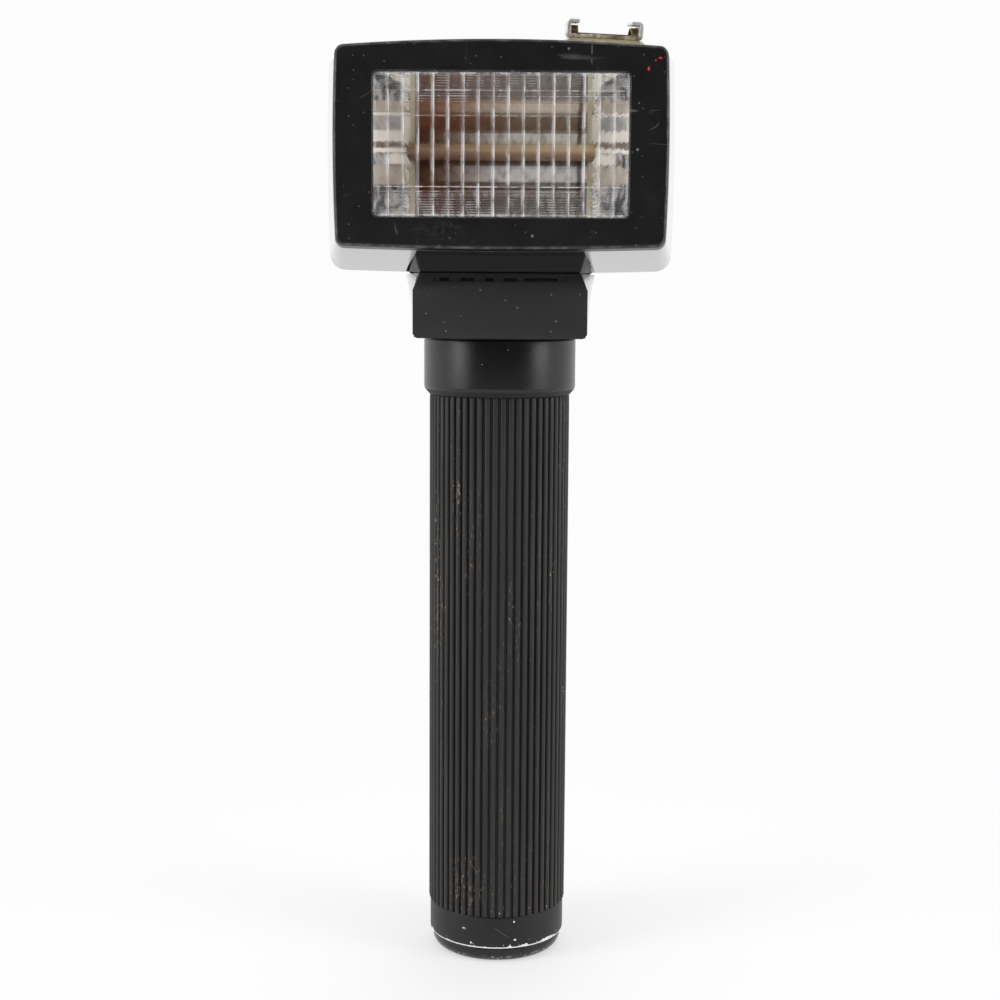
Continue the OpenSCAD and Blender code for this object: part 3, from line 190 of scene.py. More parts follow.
class Net:
    """A node tree and the one way that nodes get into it."""

    def __init__(self, tree):
        self.tree = tree
        tree.nodes.clear()

    def node(self, kind, settings=None, inputs=None, out=0):
        """A shader node with its settings and its inputs, which are values or sockets to link. Gives one output."""
        made = self.tree.nodes.new("ShaderNode" + kind)
        for key, value in (settings or {}).items():
            setattr(made, key, value)
        for key, value in (inputs or {}).items():
            if isinstance(value, Value):
                self.tree.links.new(value.socket, made.inputs[key])
            else:
                full = len(value) == 3 and made.inputs[key].type == "RGBA" if hasattr(value, "__len__") else False
                made.inputs[key].default_value = (*value, 1.0) if full else value
        return Value(self, made.outputs[out]) if made.outputs else made

    def place(self, scale=(1, 1, 1), centre=(0, 0, 0)):
        """Object coordinates, moved so that centre is their origin and then stretched."""
        at = self.node("TexCoord", out=3)
        moved = self.node("VectorMath", {"operation": "SUBTRACT"}, {0: at, 1: centre})
        return self.node("VectorMath", {"operation": "MULTIPLY"}, {0: moved, 1: scale})

    def xyz(self, centre=(0, 0, 0)):
        """The three object coordinates, measured from centre."""
        at = self.place(centre=centre)
        return [self.node("SeparateXYZ", inputs={0: at}, out=i) for i in range(3)]

    def noise(self, scale, detail=3.0, stretch=(1, 1, 1), rough=0.55):
        """Soft clouds about 0.5; scale is per metre."""
        where = {"Vector": self.place(stretch), "Scale": scale, "Detail": detail, "Roughness": rough}
        return self.node("TexNoise", inputs=where)

    def specks(self, scale, size, share, stretch=(1, 1, 1)):
        """Small dots: 1 within size of a cell's point, in the given share of the cells."""
        where = {"Vector": self.place(stretch), "Scale": scale}
        near = self.node("TexVoronoi", inputs=where)
        tint = self.node("TexVoronoi", inputs=where, out=1)
        pick = self.node("SeparateColor", inputs={0: tint})
        return near.between(size, size * 0.6) * pick.between(1 - share + 0.01, 1 - share + 0.03)

    def hairlines(self, scale, width, stretch, shift):
        """Thin wandering lines: where a stretched noise crosses its middle value."""
        at = self.place(stretch, shift)
        field = self.node("TexNoise", inputs={"Vector": at, "Scale": scale, "Detail": 1.0})
        return abs(field - 0.5).between(width, 0.0)

    def spot(self, x, z, middle, reach):
        """A soft oval in X and Z: 1 at its middle and 0 from its reach on, all in millimetres."""
        across, up = (x - middle[0] * MM) / (reach[0] * MM), (z - middle[1] * MM) / (reach[1] * MM)
        return (across * across + up * up).between(1.0, 0.45)

    def spots(self, x, z, places):
        """The sum of soft ovals, each given as its middle in X and Z, its reach in X and Z, and its weight."""
        return sum(weight * self.spot(x, z, (a, b), (c, d)) for a, b, c, d, weight in places)

    def attribute(self, name):
        """A value that the mesh keeps per point."""
        return self.node("Attribute", {"attribute_name": name}, out=2)

    def bump(self, height, strength, depth=0.05):
        """A surface that follows a height; depth is in millimetres."""
        return self.node("Bump", inputs={"Strength": strength, "Distance": depth * MM, "Height": height})


FINISHES = {}


def surface(name, build):
    """A material whose surface is a Principled shader. build gets the tree and gives the shader's sockets, or those of
    two shaders and the share of the second. It is made once, and the solids' own plain materials stay aside."""
    if name not in FINISHES:
        made = FINISHES[name] = bpy.data.materials.new(name + "_finish")
        made.use_nodes = True
        net = Net(made.node_tree)
        sockets = build(net)
        shader = net.node("BsdfPrincipled", inputs=sockets if isinstance(sockets, dict) else sockets[0])
        if not isinstance(sockets, dict):
            second = net.node("BsdfPrincipled", inputs=sockets[1])
            shader = net.node("MixShader", inputs={0: sockets[2], 1: shader, 2: second})
        net.node("OutputMaterial", inputs={"Surface": shader})
    return FINISHES[name]


def finish(build):
    """Turns a function that gets the tree, and any colours and sizes, into one that gives its material."""
    def made(*sizes):
        return surface(build.__name__, lambda net: build(net, *sizes))
    return made


# Marks seen from the front, in millimetres: middle in X and Z, reach in X and Z, weight
GRIP_DIRT = ((-8.5, 23, 6, 10, 1.0), (1, 16, 3, 4, 0.6), (-11.4, 130, 0.9, 14, 0.7), (-7.4, 122, 1.3, 9, 0.6),
             (3.8, 105, 1.2, 8, 0.8), (15.2, 110, 0.9, 13, 0.9), (6.2, 94, 1.4, 10, 0.6), (-15.7, 101, 1.0, 12, 0.6),
             (2.0, 88, 2.6, 8, 0.45), (-1.6, 74, 3.2, 12, 0.6))
BEZEL_SCUFFS = ((21.0, 251.6, 6.5, 0.7, 1.0), (17.5, 252.2, 3.5, 0.5, 0.6))
BEZEL_HAZE = ((-17, 207.2, 9.0, 3.2, 0.35),)
BEZEL_NICK = ((23.3, 252.6, 0.16, 3.2, 1.0),)
RED_SPECKS = ((41.0, 251.6, 0.55, 0.3, 1.0), (39.7, 251.0, 0.3, 0.3, 1.0), (38.0, 248.9, 0.36, 0.6, 1.0))
BAND_CHIPS = ((-9.3, 9.7, 0.5, 0.3, 1.0), (5.1, 12.3, 0.3, 0.3, 1.0), (5.4, 6.9, 0.45, 0.3, 1.0),
              (14.8, 4.6, 3.0, 1.05, 1.0))


@finish
def grip_rubber(net, look):
    """Matte rubber: grey dust on the ribs, pale dirt here and there, dark grooves."""
    x, y, z = net.xyz()
    top = ((x * x + y * y) ** 0.5).between(GRIP_HIGH[0] - 0.8 * MM, GRIP_HIGH[0] - 0.1 * MM)
    cloud = net.noise(38, 4, (1, 1, 0.45))
    left = x.between(2 * MM, -13 * MM)
    streak = net.noise(900, 3, (1, 1, 0.035)).between(0.52, 0.78)
    lane = net.noise(520, 1, (1, 1, 0.02)).between(0.50, 0.62) * cloud.between(0.40, 0.60)
    patch = y.between(0, -4 * MM) * net.spots(x, z, GRIP_DIRT)
    soil_and_shade = (lane * (0.3 + 0.6 * left) + 0.6 * patch).least(1.0)
    grime = net.noise(2400, 4, (1, 1, 0.25)).between(0.58, 0.68) * soil_and_shade
    strewn = (lane * 0.7 + cloud.between(0.50, 0.66) * 0.5 + patch).least(1.0)
    fleck = net.specks(950, 0.18, 0.32, (1, 1, 0.5)) * strewn
    dust = (streak * 0.12 + cloud.between(0.35, 0.75) * 0.04) * top
    worn = dust.colours(look.grip, (0.20, 0.19, 0.17))
    dirty = (grime * 0.6 + fleck * 0.7).least(0.9).colours(worn, look.dirt)
    grain = net.noise(5200, 2)
    return {"Base Color": dirty, "Roughness": 0.52 + 0.14 * cloud + 0.1 * grime, "Specular IOR Level": 0.42,
            "Normal": net.bump(grain, 0.25, 0.06)}


@finish
def satin_black(net, look):
    """Satin black moulding: faint mottling, hairline scratches, dust, rubbed edges, a few red paint specks."""
    x, y, z = net.xyz()
    edge = net.attribute("edge")
    mottle = net.noise(140, 4)
    scratch = net.hairlines(16, 0.0022, (1, 1, 5.0), (0.031, 0, 0.017)) * net.noise(90, 2).between(0.52, 0.62)
    cross = net.hairlines(11, 0.0016, (6.0, 1, 1), (0.011, 0, 0.043)) * net.noise(70, 2).between(0.56, 0.64)
    cloud = net.noise(50, 3)
    dust = net.specks(330, 0.15, 0.40) * cloud.between(0.38, 0.58) + 0.6 * net.specks(760, 0.18, 0.16)
    haze = net.noise(48, 5, rough=0.7).between(0.50, 0.80) * net.noise(2200, 2).between(0.40, 0.75)
    rub = edge * net.noise(260, 4).between(0.40, 0.66)
    smear = net.noise(300, 4, (0.3, 1, 2)).between(0.36, 0.66)
    broken = net.noise(900, 3).between(0.42, 0.62)
    scuff = (net.spots(x, z, BEZEL_SCUFFS) + net.spots(x, z, BEZEL_HAZE) * broken) * smear
    nick = net.spots(x, z, BEZEL_NICK) * net.noise(420, 2).between(0.40, 0.55)
    red = net.spots(x, z, RED_SPECKS) * net.noise(900, 2).between(0.34, 0.5)
    marks = (scratch * 0.30 + cross * 0.22 + dust * 0.5 + rub * 0.26 + scuff * 0.14 + nick * 0.35
             + haze * 0.03).least(0.7)
    grey = marks.colours(look.satin, (0.26, 0.255, 0.245))
    painted = red.least(1.0).colours(grey, (0.62, 0.012, 0.045))
    return {"Base Color": painted, "Roughness": 0.30 + 0.16 * mottle + 0.2 * marks, "Specular IOR Level": 0.5,
            "Normal": net.bump(net.noise(2600, 3), 0.12)}


@finish
def gloss_black(net, look):
    """Polished black moulding with smears and hairlines that show in its reflections."""
    smear = net.noise(60, 4, (1, 1.6, 1))
    scratch = net.hairlines(22, 0.0016, (1, 4.0, 1.4), (0.02, 0.01, 0.03)) * net.noise(80, 2).between(0.5, 0.62)
    dust = net.specks(300, 0.11, 0.22) * net.noise(45, 3).between(0.48, 0.66)
    rub = net.attribute("edge") * net.noise(240, 4).between(0.46, 0.70)
    marks = (scratch * 0.22 + dust * 0.3 + rub * 0.2).least(0.6)
    return {"Base Color": marks.colours(look.gloss, (0.25, 0.245, 0.24)),
            "Roughness": 0.03 + 0.06 * smear + 0.3 * marks, "IOR": 1.58, "Coat Weight": 0.7,
            "Normal": net.bump(net.noise(170, 2), 0.03, 0.1)}


@finish
def foot_black(net):
    """Dull black of the foot, with a few pale nicks along its edges."""
    cloud = net.noise(80, 4)
    nick = net.specks(300, 0.16, 0.16, (0.6, 1, 1)) * net.noise(70, 2).between(0.46, 0.58)
    return {"Base Color": (nick * 0.6).colours((0.008, 0.0072, 0.0070), (0.40, 0.39, 0.37)),
            "Roughness": 0.42 + 0.16 * cloud, "Specular IOR Level": 0.22,
            "Normal": net.bump(net.noise(2600, 2), 0.15)}


@finish
def module_black(net, look):
    """Fine spark-eroded texture with pale handling dust."""
    cloud = net.noise(75, 4)
    dust = net.specks(420, 0.12, 0.75) * cloud.between(0.34, 0.52)
    rub = net.noise(700, 3).between(0.62, 0.78) * cloud.between(0.45, 0.7)
    marks = dust * 0.45 + rub * 0.06
    return {"Base Color": marks.colours(look.module, (0.28, 0.27, 0.25)), "Roughness": 0.46 + 0.14 * cloud,
            "Specular IOR Level": 0.45, "Normal": net.bump(net.noise(3600, 2), 0.3, 0.06)}


@finish
def collar_black(net, look):
    """Turned and anodised black: faint rings from turning, a sparkling grain, a few nicks and a duller foot."""
    z = net.xyz(tuple(COLLAR_LOW))[2]
    foot = z.between(2.0 * MM, 1.3 * MM)
    rings, grain = net.noise(900, 2, (0.05, 0.05, 1)), net.noise(4200, 1)
    nick = net.specks(420, 0.10, 0.10) * net.noise(60, 2).between(0.46, 0.62)
    scuff = net.hairlines(14, 0.0025, (1, 1, 6), (0.01, 0.02, 0.0)) * net.noise(70, 2).between(0.55, 0.65)
    marks = nick * 0.6 + scuff * 0.12
    return {"Base Color": marks.colours(look.collar, (0.35, 0.34, 0.32)),
            "Roughness": 0.25 + 0.10 * rings + 0.4 * foot,
            "Normal": net.bump(0.3 * rings + grain, 0.55)}


@finish
def worn_black(net, look):
    """Black over metal, rubbed through to bare metal along its lower edge, with chips above it and a fine scratch."""
    x, y, z = net.xyz()
    rise = (z - BAND_LOW[2]) / MM
    gnaw = net.noise(420, 4)
    line = (rise - 0.5 - 1.3 * gnaw.between(0.54, 0.72)).between(0.2, 0.0) * gnaw.between(0.24, 0.36)
    bits = net.noise(1300, 3).between(0.66, 0.70) * rise.between(2.6, 0.4) * net.noise(90, 2).between(0.42, 0.56)
    front = y.between(0, -1 * MM)
    chip = net.spots(x, z, BAND_CHIPS) * front * net.noise(1500, 2).between(0.30, 0.45)
    drop = abs(z + 0.733 * x - 10.3 * MM).between(0.12 * MM, 0.04 * MM)
    scratch = drop * x.between(-1.2 * MM, 0.4 * MM) * x.between(4.0 * MM, 3.0 * MM) * front
    bare = (line + bits + chip + scratch * 0.10).least(1.0)
    return {"Base Color": bare.colours((0.0076, 0.0062, 0.0064), look.bare_metal), "Metallic": bare * 0.3,
            "Specular IOR Level": 0.4,
            "Roughness": 0.38 + 0.16 * net.noise(110, 4), "Normal": net.bump(net.noise(1800, 3), 0.1)}


@finish
def cap_black(net, look):
    """Darker, glossier black of the battery cap, scuffed pale in dashes round its lower rim."""
    foot = box_of("battery_cap")[0][2]
    rise = (net.xyz()[2] - foot) / MM
    rim = rise.between(0.1, 0.4) * rise.between(2.4, 1.0)
    scuff = rim * net.noise(900, 4, (1, 1, 1.4)).between(0.52, 0.64) * net.noise(110, 2).between(0.34, 0.54)
    dust = net.specks(520, 0.13, 0.20)
    marks = (scuff * 0.9 + dust * 0.25).least(0.9)
    return {"Base Color": marks.colours(look.collar, (0.40, 0.39, 0.37)), "Roughness": 0.24 + 0.3 * marks,
            "Normal": net.bump(net.noise(1400, 3), 0.08)}


@finish
def shoe_nickel(net, look, corner, slope, lean):
    """Bent nickel-plated strip: brushed along its length, tarnished in patches, with glue smeared up its front edge.
    The corner is the middle of that edge's foot; slope and lean are the rise of the plate backwards and sideways."""
    x, y, z = net.xyz(corner)
    brush = net.noise(1400, 2, (1, 0.06, 1))
    patch = net.noise(260, 4).between(0.48, 0.70)
    lump = net.noise(480, 4)
    level = z - slope * y - lean * x + 1.6 * MM * (lump - 0.5)
    smear = level.between(1.25 * MM, 0.95 * MM) * y.between(2.2 * MM, 1.6 * MM)
    tint = (patch * 0.55).colours(look.nickel, (0.34, 0.30, 0.23))
    stain = lump.between(0.35, 0.65).colours((0.13, 0.105, 0.06), (0.46, 0.41, 0.29))
    return {"Base Color": smear.colours(tint, stain), "Metallic": (0.6 + 0.3 * patch) * (1 - smear),
            "Roughness": 0.34 + 0.16 * brush + 0.18 * patch,
            "Normal": net.bump(brush + 2 * lump * smear, 0.12, 0.04)}


@finish
def tarnished_leaf(net):
    """Leaf inside the shoe, tarnished brown in patches."""
    patch = net.noise(420, 4).between(0.35, 0.68)
    return {"Base Color": patch.colours((0.16, 0.11, 0.06), (0.40, 0.32, 0.20)), "Metallic": 0.85,
            "Roughness": 0.38 + 0.2 * patch, "Normal": net.bump(patch, 0.2)}


@finish
def old_glue(net, look):
    """Yellowed glue with grime in its hollows and pale crazed ridges."""
    lump = net.noise(520, 5)
    grime = net.noise(900, 4).between(0.50, 0.72)
    dark = grime.colours(look.glue, (0.09, 0.07, 0.035))
    pale = lump.between(0.60, 0.76).colours(dark, (0.56, 0.51, 0.36))
    return {"Base Color": pale, "Roughness": 0.34 + 0.3 * grime, "Normal": net.bump(lump, 0.7, 0.3)}


@finish
def clear_lens(net):
    """Clear acrylic with a few fine scratches, and a pale second shader painted as the glints where its grooves, steps
    and rim catch the light.
    """
    scratch = net.hairlines(18, 0.002, (1, 1, 3), (0.02, 0, 0.05)) * net.noise(90, 2).between(0.56, 0.64)
    # Painted glints: the share of the pale shader, taken from the per point edge values
    pale = net.attribute("edge") * (0.30 + 0.70 * net.noise(520, 3, (1, 1, 0.4)).between(0.42, 0.62))
    clear = {"Base Color": (0.99, 0.99, 0.99), "Transmission Weight": 1.0, "IOR": 1.49, "Roughness": 0.25 * scratch,
             "Alpha": 0.2}
    return clear, {"Base Color": (0.94, 0.94, 0.94), "Roughness": 0.3}, pale


def end_sheet(net, x, y, z):
    """Marks on the bent sheets at both ends of the reflector, painted as what those mirrors show: mottled metal with
    brown bands and a dark brown band that are painted reflections of the trough and the tube, pale bands and white
    streaks that are painted reflections of the lamps and the tube, white corners and a white column beside the card
    that are painted glints, and a strip of olive card at the inner end. Widths and heights shrink with the distance
    from a point in front of the head, as lines in a mirrored room do. Gives the colour, the painted glints, the card
    and the reach of the marks."""
    front, lip, rise, soft = 480.3 * MM, 445.5 * MM, 38.0 * MM, 0.25
    nearer = lip / (y + front)
    side, level = abs(x) * nearer, (z + rise) * nearer - rise
    wave = (net.noise(620, 1, (1, 1, 0.5)) - 0.5) * (0.5 + 2.2 * x.between(-5 * MM, 5 * MM)) * MM
    bent = level + wave
    rim = (12.3 * MM + 1.03 * (side - 22.8 * MM)).least(15.2 * MM + 0.61 * (side - 25.6 * MM))
    patchy = 0.4 + 0.6 * net.noise(700, 2).between(0.42, 0.54)
    # Painted glints: white in the sheet's corners, and a white column beside the card
    corner = (abs(level) - rim).between(0.0, 0.3 * MM) * patchy * (0.5 + 0.5 * level.between(-1 * MM, 1 * MM))
    beside = side.between(23.9 * MM, 24.1 * MM) * side.between(25.5 * MM, 25.2 * MM)
    column = beside * net.noise(800, 1).between(0.47, 0.53)
    # Painted reflections of the lamps and the tube: pale bands beside the tube, a lower band and thin white streaks;
    # together with the glints they make the painted glint mask
    pale = (0.9 * bent.band(1.0, 3.8, soft)).most(bent.band(3.6, 7.3, soft) * side.between(26.2 * MM, 25.4 * MM))
    lower = bent.band(-4.9, -2.2, soft) * side.between(32 * MM, 28 * MM)
    streak = bent.band(7.65, 8.4, 0.15).most(bent.band(-1.85, -0.7, 0.2)).most(lower)
    painted_glint = streak.most(pale).most(corner).most(column)
    metal = net.noise(300, 3).between(0.40, 0.62).colours((0.08, 0.08, 0.085), (0.62, 0.615, 0.61))
    # Painted reflections of the trough and the tube: a paler band, brown bands and a dark brown band
    metal = (0.7 * bent.band(3.6, 7.6, soft)).colours(metal, (0.72, 0.71, 0.68))
    brown = bent.band(8.7, 11.4, soft) + bent.band(-10.2, -5.2, soft)
    metal = (0.8 * brown).colours(metal, (0.76, 0.67, 0.58))
    metal = bent.band(-0.35, 0.75, soft).colours(metal, (0.30, 0.23, 0.18))
    card, reach = side.between(23.8 * MM, 23.6 * MM), side.between(22.4 * MM, 22.6 * MM)
    lit = painted_glint.colours(metal, (1.0, 0.96, 0.88))
    return card.colours(lit, (0.62, 0.57, 0.42)), painted_glint, card, reach


@finish
def trough_mirror(net, look):
    """Aluminium browned towards one end and dulled by heat, with painted reflections of the lamps as bright bands
    beside the tube and a straw one further up, a darker lip, a darker strip near one end that is painted shade, and the
    end sheets' painted reflections past the card."""
    x, y, z = net.xyz(level_with("reflector"))
    soft = 0.3
    clean, lit = x.between(-24 * MM, 12 * MM), x.between(-25 * MM, 5 * MM)
    blotch, grain = net.noise(110, 4), net.noise(520, 3, (1, 1, 0.12))
    spot = net.specks(420, 0.2, 0.22)
    # Painted reflections: bright bands beside the tube and a straw coloured band further up, pale and barely metallic
    bands = z.band(2.4, 5.3, soft) + z.band(-8.1, -3.4, soft)
    bright = bands * lit * (0.85 + 0.15 * grain.between(0.35, 0.6))
    straw = z.band(10.2, 12.4, soft) * (0.15 + 0.8 * clean)
    # Painted shade: a dark strip near the right end of the trough
    shade = x.between(20.7 * MM, 21.0 * MM) * x.between(22.3 * MM, 22.0 * MM)
    lip = 0.7 * abs(z).between(12.8 * MM, 13.6 * MM)
    metal = (clean * 0.9 + blotch * 0.3 - 0.12).colours(look.mirror_left, look.mirror_right)
    metal = lip.colours(metal, (0.26, 0.255, 0.26))
    metal = bright.colours(straw.colours(metal, look.mirror_straw), look.mirror_clean)
    # Real spots and grain, together with the painted shade of that strip
    soil_and_shade = (spot * 0.5).most(shade * 0.9).most((1 - grain.between(0.30, 0.5)) * 0.35)
    metal = soil_and_shade.colours(metal, (0.10, 0.08, 0.07))
    # The end sheets' painted reflections and glints, past the card
    sheet, painted_glint, card, ends = end_sheet(net, x, y, z)
    white = (bright.most(straw) * (1 - ends)).most(painted_glint.most(card).most(0.7) * ends)
    return {"Base Color": ends.colours(metal, sheet), "Metallic": 0.9 - 0.8 * white,
            "Roughness": 0.14 + 0.16 * blotch + 0.2 * spot}


@finish
def cheek_mirror(net):
    """Bright folded sheet with the marks of the reflector's ends, which are painted reflections and glints, a little
    dented.
    """
    sheet, painted_glint, card, _ = end_sheet(net, *net.xyz(level_with("reflector_cheeks")))
    return {"Base Color": sheet, "Metallic": 0.25 - 0.25 * card.most(painted_glint), "Roughness": 0.16 + 0.3 * card,
            "Normal": net.bump(net.noise(260, 2, (1, 0.4, 1)), 0.6, 0.8)}


@finish
def tube_glass(net, look):
    """Glass of the flash tube, smoked brown from use, most at one end; its upper half is painted lighter as a highlight
    and its lower half darker as painted shade.
    """
    x, y, z = net.xyz(level_with("flash_tube"))
    clean = x.between(-28 * MM, 18 * MM)
    smoke = net.noise(90, 3, (1, 3, 3))
    # Painted highlight on the upper half; the lower half stays darker as painted shade
    painted_top_light = z.between(-0.5 * MM, 0.5 * MM)
    tint = ((0.3 + 0.7 * painted_top_light) * (0.3 + 0.7 * clean) - 0.2 * smoke).colours((0.26, 0.14, 0.08), look.tube)
    return {"Base Color": tint, "Roughness": 0.05 + 0.08 * smoke, "Transmission Weight": 0.3, "IOR": 1.46}


@finish
def bright_steel(net):
    """Plain bright steel with a brushed grain and small dull patches."""
    grain = net.noise(1600, 2, (1, 0.1, 1))
    dull = net.noise(300, 3).between(0.5, 0.7)
    return {"Base Color": dull.colours((0.66, 0.66, 0.67), (0.40, 0.39, 0.37)), "Metallic": 1.0,
            "Roughness": 0.24 + 0.2 * grain + 0.15 * dull}


@finish
def contact_brass(net):
    """Contact brass, dulled in patches."""
    dull = net.noise(260, 3)
    return {"Base Color": dull.colours((0.72, 0.52, 0.22), (0.45, 0.30, 0.12)), "Metallic": 1.0,
            "Roughness": 0.22 + 0.25 * dull}


def moulded(name, tone, other, rough):
    """A moulding whose colour drifts between two tones, with a fine grain."""
    def build(net):
        drift = net.noise(130, 4)
        return {"Base Color": drift.colours(tone, other), "Roughness": rough + 0.12 * drift,
                "Normal": net.bump(net.noise(1500, 2), 0.15)}
    return surface(name, build)


@finish
def dial_face(net):
    """Black dial with fine white ticks round its rim and a thin white ring."""
    x, y, z = net.xyz(tuple(DIAL_MIDDLE))
    r = (x * x + z * z) ** 0.5
    turn = x.math("ARCTAN2", z) * (36 / math.pi)
    tick = abs(turn - turn.math("ROUND")).between(0.09, 0.05)
    band = r.between(15.2 * MM, 15.3 * MM) * r.between(17.3 * MM, 17.2 * MM)
    ring = abs(r - 9.4 * MM).between(0.16 * MM, 0.10 * MM)
    face = y.between(1.0 * MM, 1.1 * MM)
    worn = net.noise(300, 4).between(0.30, 0.45)
    ink = (tick * band + ring).least(1.0) * face * worn
    return {"Base Color": ink.colours((0.012, 0.012, 0.0125), (0.74, 0.73, 0.70)),
            "Roughness": 0.34 + 0.12 * net.noise(160, 4), "Normal": net.bump(net.noise(2400, 2), 0.12)}


@finish
def dial_scale(net):
    """Brushed aluminium scale with black ticks round its rim."""
    x, y, z = net.xyz(tuple(DIAL_MIDDLE))
    r = (x * x + z * z) ** 0.5
    turn = x.math("ARCTAN2", z) * (60 / math.pi)
    tick = abs(turn - turn.math("ROUND")).between(0.12, 0.08) * r.between(19.4 * MM, 19.6 * MM)
    grain = net.noise(1500, 2, (0.1, 1, 1))
    return {"Base Color": tick.colours((0.66, 0.66, 0.65), (0.02, 0.02, 0.02)), "Metallic": 1 - tick,
            "Roughness": 0.28 + 0.2 * grain}


@finish
def amber_lamp(net, look):
    """Amber plastic of the ready lamp with faint swirls."""
    swirl = net.noise(400, 2)
    return {"Base Color": swirl.colours(look.lamp, (0.9, 0.42, 0.06)), "Roughness": 0.12 + 0.1 * swirl,
            "Transmission Weight": 0.4, "Coat Weight": 0.5}


def fillet(corners, size, steps=5):
    """A closed outline whose corners are rounded: each becomes a quadratic curve that starts and ends size away
    from it, or half a side away where a side is short."""
    corners = np.asarray(corners, float)
    size = np.broadcast_to(size, len(corners))[:, None]
    before, after = np.roll(corners, 1, 0) - corners, np.roll(corners, -1, 0) - corners
    long_b, long_a = np.linalg.norm(before, axis=1)[:, None], np.linalg.norm(after, axis=1)[:, None]
    start = corners + before / long_b * np.minimum(size, long_b / 2)
    end = corners + after / long_a * np.minimum(size, long_a / 2)
    s = np.linspace(0, 1, steps + 1)[None, :, None]
    curve = (1 - s) ** 2 * start[:, None] + 2 * s * (1 - s) * corners[:, None] + s ** 2 * end[:, None]
    return curve.reshape(-1, 2)


def skin(rings, loop=False):
    """Quads between rings of points (rows, columns, 3). Each ring is closed. loop joins the last ring to the first,
    and otherwise the first and last ring get a flat face. The faces are turned round if the volume is negative."""
    rows, columns = rings.shape[:2]
    i, j = np.meshgrid(np.arange(rows if loop else rows - 1), np.arange(columns), indexing="ij")
    k, n = (i + 1) % rows, (j + 1) % columns
    quads = np.stack([i * columns + j, i * columns + n, k * columns + n, k * columns + j], -1).reshape(-1, 4)
    points = rings.reshape(-1, 3)
    ends = [] if loop else [np.arange(columns)[::-1], np.arange(columns) + (rows - 1) * columns]
    a, b, c, d = (points[quads[:, q]] - points.mean(0) for q in range(4))
    volume = (np.cross(a, b) * c).sum() + (np.cross(a, c) * d).sum()
    for end in ends:
        p, q = points[end] - points.mean(0), points[np.roll(end, -1)] - points.mean(0)
        volume += (np.cross(p, q) * p.mean(0)).sum()
    if volume < 0:
        quads, ends = quads[:, ::-1], [end[::-1] for end in ends]
    return points, quads, ends


def turned(profile, count=224):
    """A closed outline of (radius, height) points, turned about the handle's axis."""
    angle = np.linspace(0, 2 * np.pi, count, endpoint=False)[:, None]
    radius, height = np.asarray(profile).T[:, None, :]
    return skin(np.stack([radius * np.cos(angle), radius * np.sin(angle), height + 0 * angle], -1), loop=True)


def piece(name, closed, material, body, nodes, edge=None, sharp=32):
    """One object from a closed skin. It rides on a body and stands for CAD nodes. edge is a value per point."""
    points, quads, ends = closed
    corners = np.concatenate([quads.reshape(-1), *ends]).astype(np.int32)
    sizes = np.concatenate([np.full(len(quads), 4), [len(e) for e in ends]]).astype(np.int64)
    starts = np.concatenate([[0], np.cumsum(sizes)[:-1]]).astype(np.int32)
    mesh = bpy.data.meshes.new(name)
    mesh.vertices.add(len(points))
    mesh.vertices.foreach_set("co", points.astype(np.float32).reshape(-1))
    mesh.loops.add(len(corners))
    mesh.loops.foreach_set("vertex_index", corners)
    mesh.polygons.add(len(starts))
    mesh.polygons.foreach_set("loop_start", starts)
    mesh.update(calc_edges=True)
    if edge is not None:
        kept = mesh.attributes.new("edge", "FLOAT", "POINT")
        kept.data.foreach_set("value", np.asarray(edge, np.float32).reshape(-1))
    mesh.shade_smooth()
    mesh.set_sharp_from_angle(angle=math.radians(sharp))
    return put(name, mesh, material, body, nodes)


def put(name, mesh, material, body, nodes):
    """An object for a mesh, with its finish, on its body, in place of CAD nodes."""
    mesh.materials.clear()
    mesh.materials.append(material)
    made = bpy.data.objects.new(name, mesh)
    bpy.context.scene.collection.objects.link(made)
    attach(made, body)
    if nodes:
        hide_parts(*nodes)
    return made


def drawn_in(points):
    """Points whose distance from the handle's axis shrinks by a soft step that ends 0.7 mm in at the rim."""
    start, wide, most = 15 * MM, 4.5 * MM, 0.7 * MM
    r = np.hypot(points[:, 0], points[:, 1])
    t = np.clip((r - start) / wide, 0, 1)
    share = 1 - most * t * t * (3 - 2 * t) / np.maximum(r, MM)
    return points * np.column_stack([share, share, np.ones(len(r))])


def softened(node, width, material, body, sharp=32, segments=2, shape=None):
    """A copy of a solid's mesh with its triangles joined, flat faces merged, its points moved by shape and its edges
    rounded by width."""
    name, mesh = node + "_fine", NODES[node].data.copy()
    mesh.name = name
    work = bmesh.new()
    work.from_mesh(mesh)
    bmesh.ops.remove_doubles(work, verts=work.verts, dist=2e-6)
    bmesh.ops.dissolve_limit(work, angle_limit=math.radians(0.4), verts=work.verts, edges=work.edges)
    work.to_mesh(mesh)
    work.free()
    if shape:
        points = np.empty(3 * len(mesh.vertices), np.float32)
        mesh.vertices.foreach_get("co", points)
        mesh.vertices.foreach_set("co", shape(points.reshape(-1, 3)).astype(np.float32).reshape(-1))
    mesh.shade_smooth()
    if not width:
        mesh.set_sharp_from_angle(angle=math.radians(sharp))
    made = put(name, mesh, material, body, [node])
    if width:
        round_off = made.modifiers.new("rounded_edges", "BEVEL")
        round_off.width, round_off.segments = width * MM, segments
        round_off.limit_method, round_off.angle_limit = "ANGLE", math.radians(sharp)
        round_off.harden_normals = True
    return made


def paint(node, material):
    """Gives a CAD node that stays as it is its finish."""
    NODES[node].data.materials.clear()
    NODES[node].data.materials.append(material)


